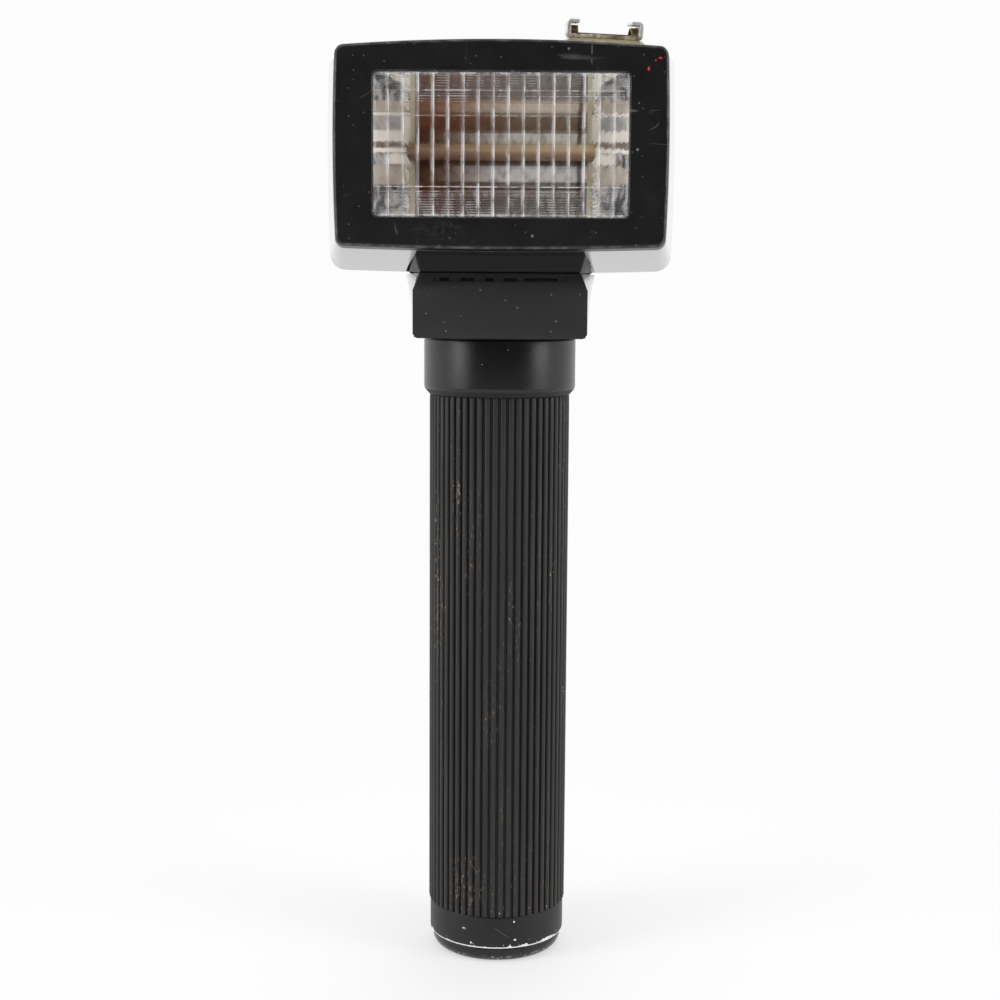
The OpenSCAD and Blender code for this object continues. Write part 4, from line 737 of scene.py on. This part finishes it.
class FLASH_OT_grip(bpy.types.Operator):
    """Ribbed sleeve: the radius falls into a narrow groove at every rib's edge and is crowned between grooves"""
    bl_idname = "flash.grip"
    bl_label = "Grip sleeve"

    def execute(self, context):
        s, look = context.scene.flash_handle, context.scene.flash_finish
        radius, low, high = GRIP_HIGH[0], GRIP_LOW[2], GRIP_HIGH[2]
        pitch = 2 * math.pi * radius / s.rib_count
        # Half a rib, from the middle of a groove to the crown: the way along the rim, and the height there
        floor, lip = s.rib_groove / 2, s.rib_groove / 2 + 0.22 * MM
        wall = floor + 0.06 * MM
        out = np.concatenate([[0, floor * 0.8, floor], np.linspace(wall, lip, 3),
                              np.linspace(lip, pitch / 2, 5)[1:]])
        rise = np.interp(out, [0, floor * 0.8, floor, wall, (wall + lip) / 2, lip, pitch / 2],
                         [-s.rib_depth, -s.rib_depth, -0.75 * s.rib_depth, -0.30 * MM - s.rib_crown,
                          -0.08 * MM - s.rib_crown, -s.rib_crown, 0])
        crown = -s.rib_crown * np.clip((pitch / 2 - out) / (pitch / 2 - lip), 0, 1) ** 2
        rise = np.where(out > lip, crown, rise)
        # Its mirror image makes a whole one, repeated round the handle
        place = np.concatenate([-out[:0:-1], out[:-1]])
        level = np.concatenate([rise[:0:-1], rise[:-1]])
        angle = (np.arange(s.rib_count)[:, None] * pitch + place[None]).reshape(-1) / radius
        level = np.tile(level, s.rib_count)
        # Both ends are rounded over: the distance from an end, and the drop there
        inwards, fall = np.array([0, 0.15, 0.5]) * MM, np.array([0.45, 0.15, 0]) * MM
        first, last = low + inwards, high - inwards[::-1]
        heights = np.concatenate([first, np.linspace(low, high, 12)[1:-1], last])
        drop = np.interp(heights, np.append(first, last), np.append(fall, fall[::-1]))
        reach = np.concatenate([[s.tube_r + 0 * level], radius + np.minimum(level[None], -drop[:, None]),
                                [s.tube_r + 0 * level]])
        heights = np.concatenate([[low], heights, [high]])[:, None] + 0 * reach
        rings = np.stack([reach * np.cos(angle), reach * np.sin(angle), heights], -1)
        piece("grip_sleeve_fine", skin(rings, loop=True), grip_rubber(look), "handle", ["grip_sleeve"],
              sharp=50)
        return {"FINISHED"}


class FLASH_OT_handle_rings(bpy.types.Operator):
    """Base ring, collar and battery cap: rounded outlines turned about the handle's axis"""
    bl_idname = "flash.handle_rings"
    bl_label = "Handle rings and cap"

    def execute(self, context):
        s, look = context.scene.flash_handle, context.scene.flash_finish
        low, high, r = BAND_LOW[2], BAND_HIGH[2], BAND_HIGH[0]
        inner = s.tube_r - 1.2 * MM
        band = fillet([(inner, low), (r, low), (r, high), (inner, high)],
                      [0.1 * MM, 2 * s.band_edge, s.band_edge, 0.1 * MM])
        piece("base_ring_fine", turned(band), worn_black(look), "handle", ["base_ring"])
        low, high, r = COLLAR_LOW[2], COLLAR_HIGH[2], COLLAR_HIGH[0]
        foot, neck_r = GRIP_HIGH[0], 12 * MM
        cone, seat = low + 1.9 * MM, high - 4.3 * MM
        collar = fillet([(s.tube_r, low), (foot, low), (r, cone), (r, high), (neck_r, high), (neck_r, seat),
                         (s.tube_r, seat)],
                        np.array([0.1, 0.25, 0.7, 0.6, 0.3, 0.3, 0.1]) * MM)
        piece("handle_collar_fine", turned(collar), collar_black(look), "handle", ["handle_collar"])
        softened("battery_cap", 0.2, cap_black(look), "battery_cap", shape=drawn_in)
        return {"FINISHED"}


class FLASH_OT_neck(bpy.types.Operator):
    """Neck housing and front block, with rounded edges"""
    bl_idname = "flash.neck"
    bl_label = "Neck"

    def execute(self, context):
        look = context.scene.flash_finish
        softened("neck_housing", 0.35, gloss_black(look), "neck", sharp=40)
        softened("front_module", 0.3, module_black(look), "neck", segments=3)
        paint("module_contacts", moulded("contact_black", (0.004, 0.004, 0.004), (0.008, 0.008, 0.008), 0.6))
        return {"FINISHED"}


def crowned(half, low, high, side, top, bottom, r, steps=30, turn=9):
    """A crowned rectangle in X and Z: corner arcs of radius r joined by parabolas that swell outwards by the bows."""
    cx, zb, zt = half - side - r, low + bottom + r, high - top - r
    zm, hz = (zb + zt) / 2, (zt - zb) / 2
    u = np.linspace(-1, 1, steps + 1)[1:-1]
    a = np.linspace(0, np.pi / 2, turn + 1)

    def arc(x, z, quarter):
        return np.stack([x + r * np.cos(a + quarter * np.pi / 2), z + r * np.sin(a + quarter * np.pi / 2)], -1)

    return np.concatenate([
        np.stack([u * cx, low + bottom * u ** 2], -1), arc(cx, zb, 3),
        np.stack([half - side * u ** 2, zm + u * hz], -1), arc(cx, zt, 0),
        np.stack([-u * cx, high - top * u ** 2], -1), arc(-cx, zt, 1),
        np.stack([-half + side * u ** 2, zm - u * hz], -1), arc(-cx, zb, 2)])


def at_depth(outline, y):
    """A flat outline in X and Z set at depth y."""
    return np.stack([outline[:, 0], np.full(len(outline), y), outline[:, 1]], -1)


def flare_rise(h):
    """How far the flare lets the outline out at its back."""
    return h.flare_len * math.tan(h.taper)


def head_middle(h):
    """Height of the middle of the bezel."""
    return h.floor + flare_rise(h) + h.height / 2


def head_ring(h, y, inset=0.0):
    """The head's outline at depth y, drawn in by inset: the bezel's outline, let out along the taper."""
    share = min(1.0, (y + h.front) / h.flare_len)
    flare = flare_rise(h)
    out = share * flare - inset
    r = max(0.6 * MM, h.front_corner + share * (h.back_corner - h.front_corner) - inset)
    low = h.floor + flare
    return at_depth(crowned(h.half + out, low - out, low + h.height + out, h.side_bow, h.top_bow, h.floor_bow, r), y)


def head_top(h, x, y):
    """Height of the head's top at (x, y), as arrays."""
    share = np.minimum(1.0, (y + h.front) / h.flare_len)
    flare = flare_rise(h)
    out = share * flare
    cx = h.half + out - h.side_bow - h.front_corner - share * (h.back_corner - h.front_corner)
    return h.floor + flare + h.height + out - h.top_bow * (x / cx) ** 2


def rect_ring(half_x, half_z, middle, r, y):
    """A rounded rectangle at depth y, with as many points as the head's outline."""
    return at_depth(crowned(half_x, middle - half_z, middle + half_z, 0, 0, 0, r), y)


class FLASH_OT_head(bpy.types.Operator):
    """Bezel, front shell with its foot, and rear shell: lofts through crowned outlines with rounded edges"""
    bl_idname = "flash.head"
    bl_label = "Head shells"

    def execute(self, context):
        h, look = context.scene.flash_head, context.scene.flash_finish
        face = -h.front
        back, flare_y, end = face + h.bezel_depth, face + h.flare_len, face + h.depth
        self.shell("head_bezel", *self.bezel(h, face, back), satin_black(look), "bezel_black")
        self.shell("head_front_shell", *self.front_shell(h, back, flare_y), gloss_black(look), "shell_black")
        piece("head_foot_fine", self.foot(h, flare_y), foot_black(), "head", [])
        self.shell("head_rear_shell", *self.rear_shell(h, flare_y, end), gloss_black(look), "shell_black")
        return {"FINISHED"}

    def shell(self, node, rings, worn, material, slot):
        """A closed loft in place of a solid. worn says how rubbed each of its rings is."""
        rings = np.stack(rings)
        piece(node + "_fine", skin(rings, loop=True), material, "head", [node],
              edge=np.repeat(worn, rings.shape[1]))

    def bezel(self, h, face, back):
        """From the seam forwards, round the outer edge, across the face, round the window's edge and back."""
        middle, edge, rim = head_middle(h), 0.8 * MM, 0.35 * MM
        half_x, half_z, corner = h.window_half, h.window_height / 2, h.window_corner

        def window(out, y):
            return rect_ring(half_x + out, half_z + out, middle, corner + out, y)

        quarter = np.radians(np.linspace(90, 0, 8))
        rings = [head_ring(h, back, h.seam), head_ring(h, back - h.seam), head_ring(h, face + 1.4 * edge)]
        rings += [head_ring(h, face + edge * (1 - np.cos(a)), edge * (1 - np.sin(a))) for a in quarter]
        rings += [head_ring(h, face, 1.5 * edge), window(2 * rim, face)]
        rings += [window(rim * (1 - np.sin(a)), face + rim * (1 - np.cos(a))) for a in quarter[::-1]]
        rings += [window(0, face + 2 * rim), window(0, back)]
        worn = np.zeros(len(rings))
        worn[3:11] = [0, 0.3, 0.8, 1, 1, 0.8, 0.4, 0]
        worn[14:18] = 0.35
        return rings, worn

    def front_shell(self, h, back, flare_y):
        """From the bezel's seam out along the flare, and back inside it."""
        depths = np.linspace(back + h.seam, flare_y - h.seam, 16)
        rings = [head_ring(h, back, h.seam)] + [head_ring(h, y) for y in depths] + [head_ring(h, flare_y, h.seam)]
        rings += [head_ring(h, flare_y, h.wall), head_ring(h, back, h.wall)]
        worn = np.zeros(len(rings))
        worn[[0, 1]] = 0.6
        return rings, worn

    def rear_shell(self, h, flare_y, end):
        """From the flare's end backwards, round the back edge, into the panel's pocket and back inside."""
        middle, big = head_middle(h), 3 * MM
        panel_x, panel_z = (PANEL_HIGH[0] - PANEL_LOW[0]) / 2, (PANEL_HIGH[2] - PANEL_LOW[2]) / 2
        seat, inner, fit, ledge = PANEL_LOW[1], PANEL_LOW[1] - 1.6 * MM, 0.06 * MM, -5.3 * MM

        def pocket(out, y):
            return rect_ring(panel_x + out, panel_z + out, middle, 4 * MM, y)

        rings = [head_ring(h, flare_y, h.seam), head_ring(h, flare_y + h.seam)]
        rings += [head_ring(h, y) for y in np.linspace(flare_y + 2 * MM, end - 1.4 * big, 6)]
        rings += [head_ring(h, end - big * (1 - np.sin(a)), big * (1 - np.cos(a)))
                  for a in np.radians(np.linspace(0, 90, 10))]
        rings += [head_ring(h, end, 1.12 * big), pocket(0.3 * MM, end), pocket(fit, end - 0.25 * MM),
                  pocket(fit, seat), pocket(ledge, seat), pocket(ledge, inner), head_ring(h, inner, h.wall),
                  head_ring(h, flare_y, h.wall)]
        worn = np.zeros(len(rings))
        worn[10:16] = 0.5
        return rings, worn

    def foot(self, h, flare_y):
        """The foot under the flare: a plan that splays towards the back, let out by its lean as it rises, with its
        front corners and lower edge rounded."""
        rise, lean = flare_rise(h), 0.27
        near, far, front = 21.7 * MM, 26.2 * MM, -26.2 * MM
        splay = (far - near) / (flare_y - front)
        up = np.append(np.array([-0.25, -0.10, 0.2, 1.2, 3.0]) * MM, rise)
        out = lean * up - np.array([0.45, 0.15, 0, 0, 0, 0]) * MM
        rings = []
        for z, o in zip(up, out):
            wide = far + o * (1 + splay)
            plan = fillet([(-near - o, front - o), (near + o, front - o), (wide, flare_y), (-wide, flare_y)],
                          np.array([0.9, 0.9, 0.1, 0.1]) * MM, 8)
            rings.append(np.column_stack([plan, np.full(len(plan), h.floor + z)]))
        return skin(np.stack(rings))


class FLASH_OT_lens(bpy.types.Operator):
    """Lens: shallow upright flutes with narrow grooves in front, prism steps and cross grooves behind"""
    bl_idname = "flash.lens"
    bl_label = "Fresnel lens"

    def execute(self, context):
        h, s = context.scene.flash_head, context.scene.flash_lens
        gap, rim = 0.05 * MM, 0.5 * MM
        half_x, half_z, r = h.window_half - gap, h.window_height / 2 - gap, h.window_corner
        front, back, middle = LENS_LOW[1], LENS_HIGH[1], head_middle(h)
        pitch = 2 * half_x / s.flutes
        cuts = -half_x + pitch * np.arange(1, s.flutes)
        # Columns: close together at each groove and at both ends
        near = np.array([-4.6, -3, -2, -1.2, -0.6, 0, 0.6, 1.2, 2, 3, 4.6]) * s.groove_width
        ends = half_x - rim * (1 - np.cos(np.linspace(0, np.pi / 2, 6)))
        fill = (-half_x + pitch * (np.arange(s.flutes)[:, None] + np.array([0.3, 0.5, 0.7])[None])).reshape(-1)
        x = np.unique(np.concatenate([(cuts[:, None] + near[None]).reshape(-1), fill, ends, -ends]))
        # Rows: the prism steps at the top and bottom, the cross grooves, and both ends
        top, low = half_z - np.array([0.6, 8.4]) * MM, -half_z + np.array([7.4, 0.6]) * MM
        teeth_top = np.arange(int((top[0] - top[1]) / s.step_pitch))
        teeth_low = np.arange(int((low[0] - low[1]) / s.step_pitch))
        bites = np.concatenate([top[0] - s.step_pitch * teeth_top, low[1] + s.step_pitch * (teeth_low + 1)])
        lines = np.append(half_z - np.array([4.4, 5.9, 10.9]) * MM, -half_z + np.array([7.9, 5.5]) * MM)
        depth = np.array([0.16, 0.10, 0.10, 0.22, 0.08]) * MM
        wide = 0.12 * MM
        ends = half_z - rim * (1 - np.cos(np.linspace(0, np.pi / 2, 6)))
        tooth = np.array([-0.98, -0.34, -0.02, 0]) * s.step_pitch
        about = np.array([-3, -1.5, -0.7, 0, 0.7, 1.5, 3]) * wide
        z = np.concatenate([(bites[:, None] + tooth).reshape(-1), ends, -ends, (lines[:, None] + about).reshape(-1),
                            np.linspace(low[0], top[1], 16)])
        z = np.unique(np.round(z, 7))
        # The outline's rounded corners and rim
        x_, z_ = np.meshgrid(x, z, indexing="ij")
        tall = half_z - r + np.sqrt(r ** 2 - np.clip(np.abs(x) - half_x + r, 0, r) ** 2)[:, None]
        z_ = np.clip(z_, -tall, tall)
        inside = np.minimum(half_x - np.abs(x_), tall - np.abs(z_))
        rounded = rim - np.sqrt(np.clip(rim ** 2 - np.clip(rim - inside, 0, rim) ** 2, 0, None))
        # Front and back faces
        share = (x_ + half_x) / pitch
        part = share - np.floor(share) - 0.5
        side = x_ - cuts[np.abs(x_[..., None] - cuts).argmin(-1)]
        y_front = front + 4 * s.crown * part ** 2 + s.groove * np.exp(-(side / s.groove_width) ** 2) + rounded
        down, up = (top[0] - z_) / s.step_pitch, (z_ - low[1]) / s.step_pitch
        in_top, in_low = (down > 0) & (down < len(teeth_top)), (up > 0) & (up < len(teeth_low))
        saw = np.where(in_top, 1 - (down - np.floor(down)), 0) + np.where(in_low, 1 - (up - np.floor(up)), 0)
        cross = (depth * np.exp(-((z_[..., None] - lines) / wide) ** 2)).sum(-1)
        y_back = back - s.step_depth * saw - cross
        rings = np.concatenate([np.stack([x_, y_front, middle + z_], -1),
                                np.stack([x_, y_back, middle + z_], -1)[:, ::-1]], axis=1)
        # Painted glints: pale along the grooves, the rim, the cross grooves and the tips of the steps, where they would
        # catch the light
        glint_bead = np.exp(-((z_ + half_z - rim) / rim) ** 2)
        glint_line = (0.7 + glint_bead) * np.exp(-((side - 0.1 * MM) / (1.15 * s.groove_width)) ** 2)
        glint_line = glint_line + 0.3 * np.exp(-((side + 0.34 * MM) / (1.7 * s.groove_width)) ** 2)
        glint_line = glint_line + 0.5 * np.exp(-((inside - 0.2 * MM) / rim) ** 2)
        step = (cross / depth.max()) * 0.9 + 0.42 * (saw > 0.9)
        piece("fresnel_lens_fine", skin(rings), clear_lens(), "head", ["fresnel_lens"],
              edge=np.clip(np.concatenate([glint_line, step[:, ::-1]], axis=1), 0, 1), sharp=20)
        return {"FINISHED"}


class FLASH_OT_lamp(bpy.types.Operator):
    """Reflector trough, its cheeks and the flash tube"""
    bl_idname = "flash.lamp"
    bl_label = "Reflector and tube"

    def execute(self, context):
        s, look = context.scene.flash_lens, context.scene.flash_finish
        low, high = box_of("reflector")
        middle, sheet = (low[2] + high[2]) / 2, 0.5 * MM
        vertex = high[1] - sheet
        reach = math.sqrt((vertex - low[1]) * 4 * s.focus)
        t = np.linspace(-reach, reach, 72)
        slope = t / (2 * s.focus)
        out = sheet / np.sqrt(1 + slope ** 2)
        inner = np.stack([vertex - t ** 2 / (4 * s.focus), middle + t], -1)
        outer = inner + np.stack([out, out * slope], -1)
        outline = np.concatenate([inner, outer[::-1]])
        x = np.linspace(low[0], high[0], 12)[:, None] + 0 * outline[None, :, 0]
        rings = np.stack([x, outline[None, :, 0] + 0 * x, outline[None, :, 1] + 0 * x], -1)
        piece("reflector_fine", skin(rings), trough_mirror(look), "head", ["reflector"])
        paint("reflector_cheeks", cheek_mirror())
        softened("flash_tube", 0, tube_glass(look), "head")
        paint("tube_electrodes", bright_steel())
        paint("tube_grommets", moulded("nylon", (0.72, 0.70, 0.62), (0.60, 0.57, 0.48), 0.45))
        return {"FINISHED"}


class FLASH_OT_shoe(bpy.types.Operator):
    """Accessory shoe, its leaf and the lumpy glue that holds it"""
    bl_idname = "flash.shoe"
    bl_label = "Accessory shoe"

    def execute(self, context):
        h, look = context.scene.flash_head, context.scene.flash_finish
        low, high = box_of("accessory_shoe")
        half, long = 9.7 * MM, (high[1] - low[1]) / 2 - 0.5 * MM
        middle = (low + high) / 2
        seat = head_top(h, middle[0], low[1]) + h.glue
        lean = (head_top(h, middle[0] + half, low[1]) - head_top(h, middle[0] - half, low[1])) / (2 * half)
        nickel = shoe_nickel(look, (middle[0], low[1], seat), math.tan(h.taper), lean)
        softened("accessory_shoe", 0.16, nickel, "head")
        paint("shoe_spring", tarnished_leaf())
        outline = fillet([(-half, -long), (half, -long), (half, long), (-half, long)], 2.0 * MM, 40)
        a = np.arctan2(outline[:, 1], outline[:, 0])
        lump = (0.55 * np.sin(5 * a + 0.6) + 0.40 * np.sin(11 * a + 2) + 0.30 * np.sin(17 * a + 4)
                + 0.2 * np.sin(29 * a))
        out = np.array([1.3, 1.35, 1.0, 0.55, 0.1, -1.2]) * MM
        rise = np.array([-0.4, 0.02, 0.35, 0.7, 0.98, 0.99])
        wobble = np.array([0.7, 0.7, 0.6, 0.4, 0.2, 0]) * MM
        spread = 1 + (out[:, None] + wobble[:, None] * lump[None]) / np.linalg.norm(outline, axis=1)[None]
        x, y = middle[0] + outline[None, :, 0] * spread, middle[1] + outline[None, :, 1] * spread
        plate = seat + math.tan(h.taper) * (y - low[1]) + lean * (x - middle[0])
        ground = head_top(h, x, y)
        z = ground + rise[:, None] * (plate - ground)
        glue = skin(np.stack([x, y, z], -1))
        piece("shoe_adhesive_fine", glue, old_glue(look), "head", ["shoe_adhesive"], sharp=60)
        return {"FINISHED"}


class FLASH_OT_back(bpy.types.Operator):
    """Back panel with its screws, dial, lamp, button, switch and socket"""
    bl_idname = "flash.back"
    bl_label = "Back panel and controls"

    def execute(self, context):
        look = context.scene.flash_finish
        softened("back_panel", 0.3, module_black(look), "head")
        softened("panel_screws", 0.12, bright_steel(), "head")
        softened("dial_plate", 0.15, dial_scale(), "head")
        softened("dial_hub", 0.2, bright_steel(), "head")
        softened("calculator_dial", 0.2, dial_face(), "dial")
        softened("ready_lamp", 0, amber_lamp(look), "head")
        red = moulded("button_red", look.button, (0.36, 0.02, 0.014), 0.22)
        softened("test_button", 0.4, red, "test_button", segments=3)
        grey = moulded("switch_grey", (0.55, 0.54, 0.52), (0.46, 0.45, 0.42), 0.4)
        softened("power_switch", 0.25, grey, "power_switch")
        softened("sync_socket", 0.12, bright_steel(), "head")
        self.numbers()
        return {"FINISHED"}

    def numbers(self):
        """Numbers round the dial: flat figures a little proud of its face, each turned to its place."""
        figures = ["2", "2.8", "4", "5.6", "8", "11", "16", "22"]
        first, step, tall, radius, proud = -105, 30, 3.0 * MM, 12.4 * MM, 0.02 * MM
        made = bmesh.new()
        for i, figure in enumerate(figures):
            turn = math.radians(first + step * i)
            curve = bpy.data.curves.new("figure", "FONT")
            curve.body, curve.size, curve.align_x, curve.align_y = figure, tall, "CENTER", "CENTER"
            curve.extrude, curve.resolution_u = 0.03 * MM, 3
            holder = bpy.data.objects.new("figure", curve)
            mesh = bpy.data.meshes.new_from_object(holder)
            place = (Matrix.Translation((DIAL_MIDDLE[0], DIAL_HIGH[1] + proud, DIAL_MIDDLE[2]))
                     @ Matrix.Rotation(math.pi, 4, "Z") @ Matrix.Rotation(turn, 4, "Y")
                     @ Matrix.Translation((0, 0, radius)) @ Matrix.Rotation(math.pi / 2, 4, "X"))
            mesh.transform(place)
            made.from_mesh(mesh)
            bpy.data.objects.remove(holder)
            bpy.data.curves.remove(curve)
            bpy.data.meshes.remove(mesh)
        mesh = bpy.data.meshes.new("dial_numbers")
        made.to_mesh(mesh)
        made.free()
        ink = moulded("white_ink", (0.74, 0.73, 0.70), (0.62, 0.60, 0.56), 0.5)
        put("dial_numbers", mesh, ink, "dial", [])


class FLASH_OT_inner(bpy.types.Operator):
    """Finishes of the pieces inside, which keep their solids"""
    bl_idname = "flash.inner"
    bl_label = "Inner pieces"

    def execute(self, context):
        covers = [
            (moulded("inner_plastic", (0.05, 0.05, 0.05), (0.08, 0.078, 0.075), 0.5),
             ["battery_holder", "board_components", "swivel_washer", "switch_body"]),
            (moulded("seal_rubber", (0.014, 0.014, 0.014), (0.022, 0.022, 0.022), 0.6),
             ["capacitor_cradle", "cap_seal"]),
            (moulded("board_green", (0.03, 0.14, 0.06), (0.02, 0.10, 0.045), 0.35), ["contact_board", "circuit_board"]),
            (moulded("anodised_tube", (0.02, 0.02, 0.022), (0.03, 0.03, 0.032), 0.35), ["handle_tube"]),
            (moulded("cell_jacket", (0.42, 0.32, 0.12), (0.35, 0.27, 0.1), 0.3), ["battery_cells"]),
            (moulded("capacitor_can", (0.03, 0.035, 0.12), (0.02, 0.025, 0.09), 0.3), ["main_capacitor"]),
            (moulded("coil_winding", (0.30, 0.10, 0.03), (0.22, 0.07, 0.02), 0.3), ["trigger_coil"]),
            (contact_brass(), ["battery_contacts", "cap_contact"]),
            (bright_steel(), ["cap_spring", "hinge_pin", "hinge_washers", "swivel_circlip", "thrust_washer",
                              "tilt_bracket", "bracket_screws"]),
        ]
        for material, nodes in covers:
            for node in nodes:
                paint(node, material)
        return {"FINISHED"}


class FLASH_OT_stage(bpy.types.Operator):
    """Pale floor, soft light and the camera"""
    bl_idname = "flash.stage"
    bl_label = "Stage"

    def execute(self, context):
        scene = context.scene
        scene.view_settings.view_transform = "Standard"
        self.floor()
        self.flag()
        self.sky(scene)
        self.lamp("key_light", (-0.88, -0.45, 0.56), (0, 0, 0.16), (0.42, 0.95), 4.6)
        self.lamp("fill_light", (0.90, -0.43, 0.56), (0, 0, 0.16), (0.42, 0.95), 3.8)
        self.lamp("back_light", (0.1, 0.75, 0.75), (0, 0, 0.1), (0.9, 0.9), 2.6)
        self.camera(scene)
        return {"FINISHED"}

    def sheet(self, name, points, faces, finish_name, cover):
        """A mesh of the stage whose finish mixes two shaders. cover gives the share of the second, and both shaders."""
        mesh = bpy.data.meshes.new(name)
        mesh.from_pydata(points.tolist(), [], faces.tolist())
        made = bpy.data.materials.new(finish_name)
        made.use_nodes = True
        net = Net(made.node_tree)
        mixed = net.node("MixShader", inputs=dict(enumerate(cover(net))))
        net.node("OutputMaterial", inputs={"Surface": mixed})
        mesh.materials.append(made)
        sheet = bpy.data.objects.new(name, mesh)
        bpy.context.scene.collection.objects.link(sheet)
        return sheet

    def floor(self):
        """A wide pale sheet that fades to plain white away from the object."""
        half = 12.0
        corners = np.array([(-half, -half, 0), (half, -half, 0), (-half, half, 0), (half, half, 0)])
        def cover(net):
            x, y, z = net.xyz()
            away = 0.5 + 0.5 * ((x * x + y * y) ** 0.5).between(0.03, 0.22)
            return (away, net.node("BsdfDiffuse", inputs={"Color": (0.90, 0.895, 0.895)}),
                    net.node("Emission", inputs={"Color": (0.98, 0.978, 0.98), "Strength": 1.0}))
        floor = self.sheet("floor", corners, np.array([[0, 1, 3, 2]]), "pale_floor", cover)

    def flag(self):
        """A dark card bent round behind the camera: an arc in plan, carried upwards. Only reflections see it, so that
        black faces stay black and the lamp house dark."""
        count, radius, low, high = 20, 0.95, 0.01, 0.85
        turn = np.radians(np.linspace(-50, 50, count + 1))
        foot = np.stack([np.sin(turn), -np.cos(turn), 0 * turn], -1) * radius
        points = np.concatenate([foot + (0, 0, low), foot + (0, 0, high)])
        i = np.arange(count)
        faces = np.stack([i, i + 1, i + count + 2, i + count + 1], -1)
        def cover(net):
            glossy, through = (net.node("LightPath", out=name)
                               for name in ("Is Glossy Ray", "Is Transmission Ray"))
            dark = net.node("BsdfDiffuse", inputs={"Color": (0.02, 0.018, 0.016)})
            return (1 - glossy).most(through), dark, net.node("BsdfTransparent")
        card = self.sheet("dark_card", points, faces, "dark_card", cover)

    def sky(self, scene):
        """White to the camera, to mirrors and through glass; a plain even light to everything else."""
        world = bpy.data.worlds.new("studio")
        world.use_nodes = True
        scene.world = world
        net = Net(world.node_tree)
        rays = [net.node("LightPath", out=name) for name in
                ("Is Camera Ray", "Is Glossy Ray", "Is Transmission Ray")]
        white = rays[0].most(rays[1]).most(rays[2])
        strength = 0.8 + 0.195 * white
        sky = net.node("Background", inputs={"Color": (0.985, 0.985, 0.99), "Strength": strength})
        net.node("OutputWorld", inputs={"Surface": sky})

    def lamp(self, name, place, target, size, power):
        """A rectangular area lamp that looks from place at target."""
        data = bpy.data.lights.new(name, "AREA")
        data.shape, data.energy = "RECTANGLE", power
        data.size, data.size_y = size
        made = bpy.data.objects.new(name, data)
        ahead = np.array(target) - np.array(place)
        back = -ahead / np.linalg.norm(ahead)
        right = np.cross((0, 0, 1), back)
        right /= np.linalg.norm(right)
        turn = Matrix(np.stack([right, np.cross(back, right), back], 1).tolist()).to_4x4()
        made.matrix_world = Matrix.Translation(place) @ turn
        bpy.context.scene.collection.objects.link(made)

    def camera(self, scene):
        """The photograph's viewpoint: level with the neck, looking a little down, turned by a third of a degree."""
        down, roll = math.radians(7.067), math.radians(0.36)
        place, focal = (0.000317, -0.48030, 0.19135), 60.259
        right, ahead = np.array([1.0, 0, 0]), np.array([0, math.cos(down), -math.sin(down)])
        up = np.cross(right, ahead)
        across = math.cos(roll) * right + math.sin(roll) * up
        upward = -math.sin(roll) * right + math.cos(roll) * up
        data = bpy.data.cameras.new("camera")
        data.sensor_width, data.lens = 36, focal
        data.clip_start, data.clip_end = 0.01, 100
        made = bpy.data.objects.new("camera", data)
        turn = Matrix(np.stack([across, upward, -ahead], 1).tolist()).to_4x4()
        made.matrix_world = Matrix.Translation(place) @ turn
        scene.collection.objects.link(made)
        scene.camera = made


STEPS = [FLASH_OT_grip, FLASH_OT_handle_rings, FLASH_OT_neck, FLASH_OT_head, FLASH_OT_lens, FLASH_OT_lamp,
         FLASH_OT_shoe, FLASH_OT_back, FLASH_OT_inner, FLASH_OT_stage]


class FLASH_PT_panel(bpy.types.Panel):
    """Lists the steps and the sizes that they use"""
    bl_idname = "FLASH_PT_panel"
    bl_label = "Handle mount flash"
    bl_space_type = "VIEW_3D"
    bl_region_type = "UI"
    bl_category = "Flash"

    def draw(self, context):
        for step in STEPS:
            self.layout.operator(step.bl_idname)
        for key in GROUPS:
            group = getattr(context.scene, key)
            for name in group.bl_rna.properties.keys():
                if name not in ("rna_type", "name"):
                    self.layout.prop(group, name)


GROUPS = {"flash_handle": FlashHandleSizes, "flash_head": FlashHeadSizes, "flash_lens": FlashLensSizes,
          "flash_finish": FlashFinishes}


def register():
    for kind in [*GROUPS.values(), *STEPS, FLASH_PT_panel]:
        bpy.utils.register_class(kind)
    for name, kind in GROUPS.items():
        setattr(bpy.types.Scene, name, PointerProperty(type=kind))


def unregister():
    for name in GROUPS:
        delattr(bpy.types.Scene, name)
    for kind in reversed([*GROUPS.values(), *STEPS, FLASH_PT_panel]):
        bpy.utils.unregister_class(kind)


def main():
    register()
    bpy.ops.flash.grip()
    bpy.ops.flash.handle_rings()
    bpy.ops.flash.neck()
    bpy.ops.flash.head()
    bpy.ops.flash.lens()
    bpy.ops.flash.lamp()
    bpy.ops.flash.shoe()
    bpy.ops.flash.back()
    bpy.ops.flash.inner()
    bpy.ops.flash.stage()


if __name__ == "__main__":
    main()
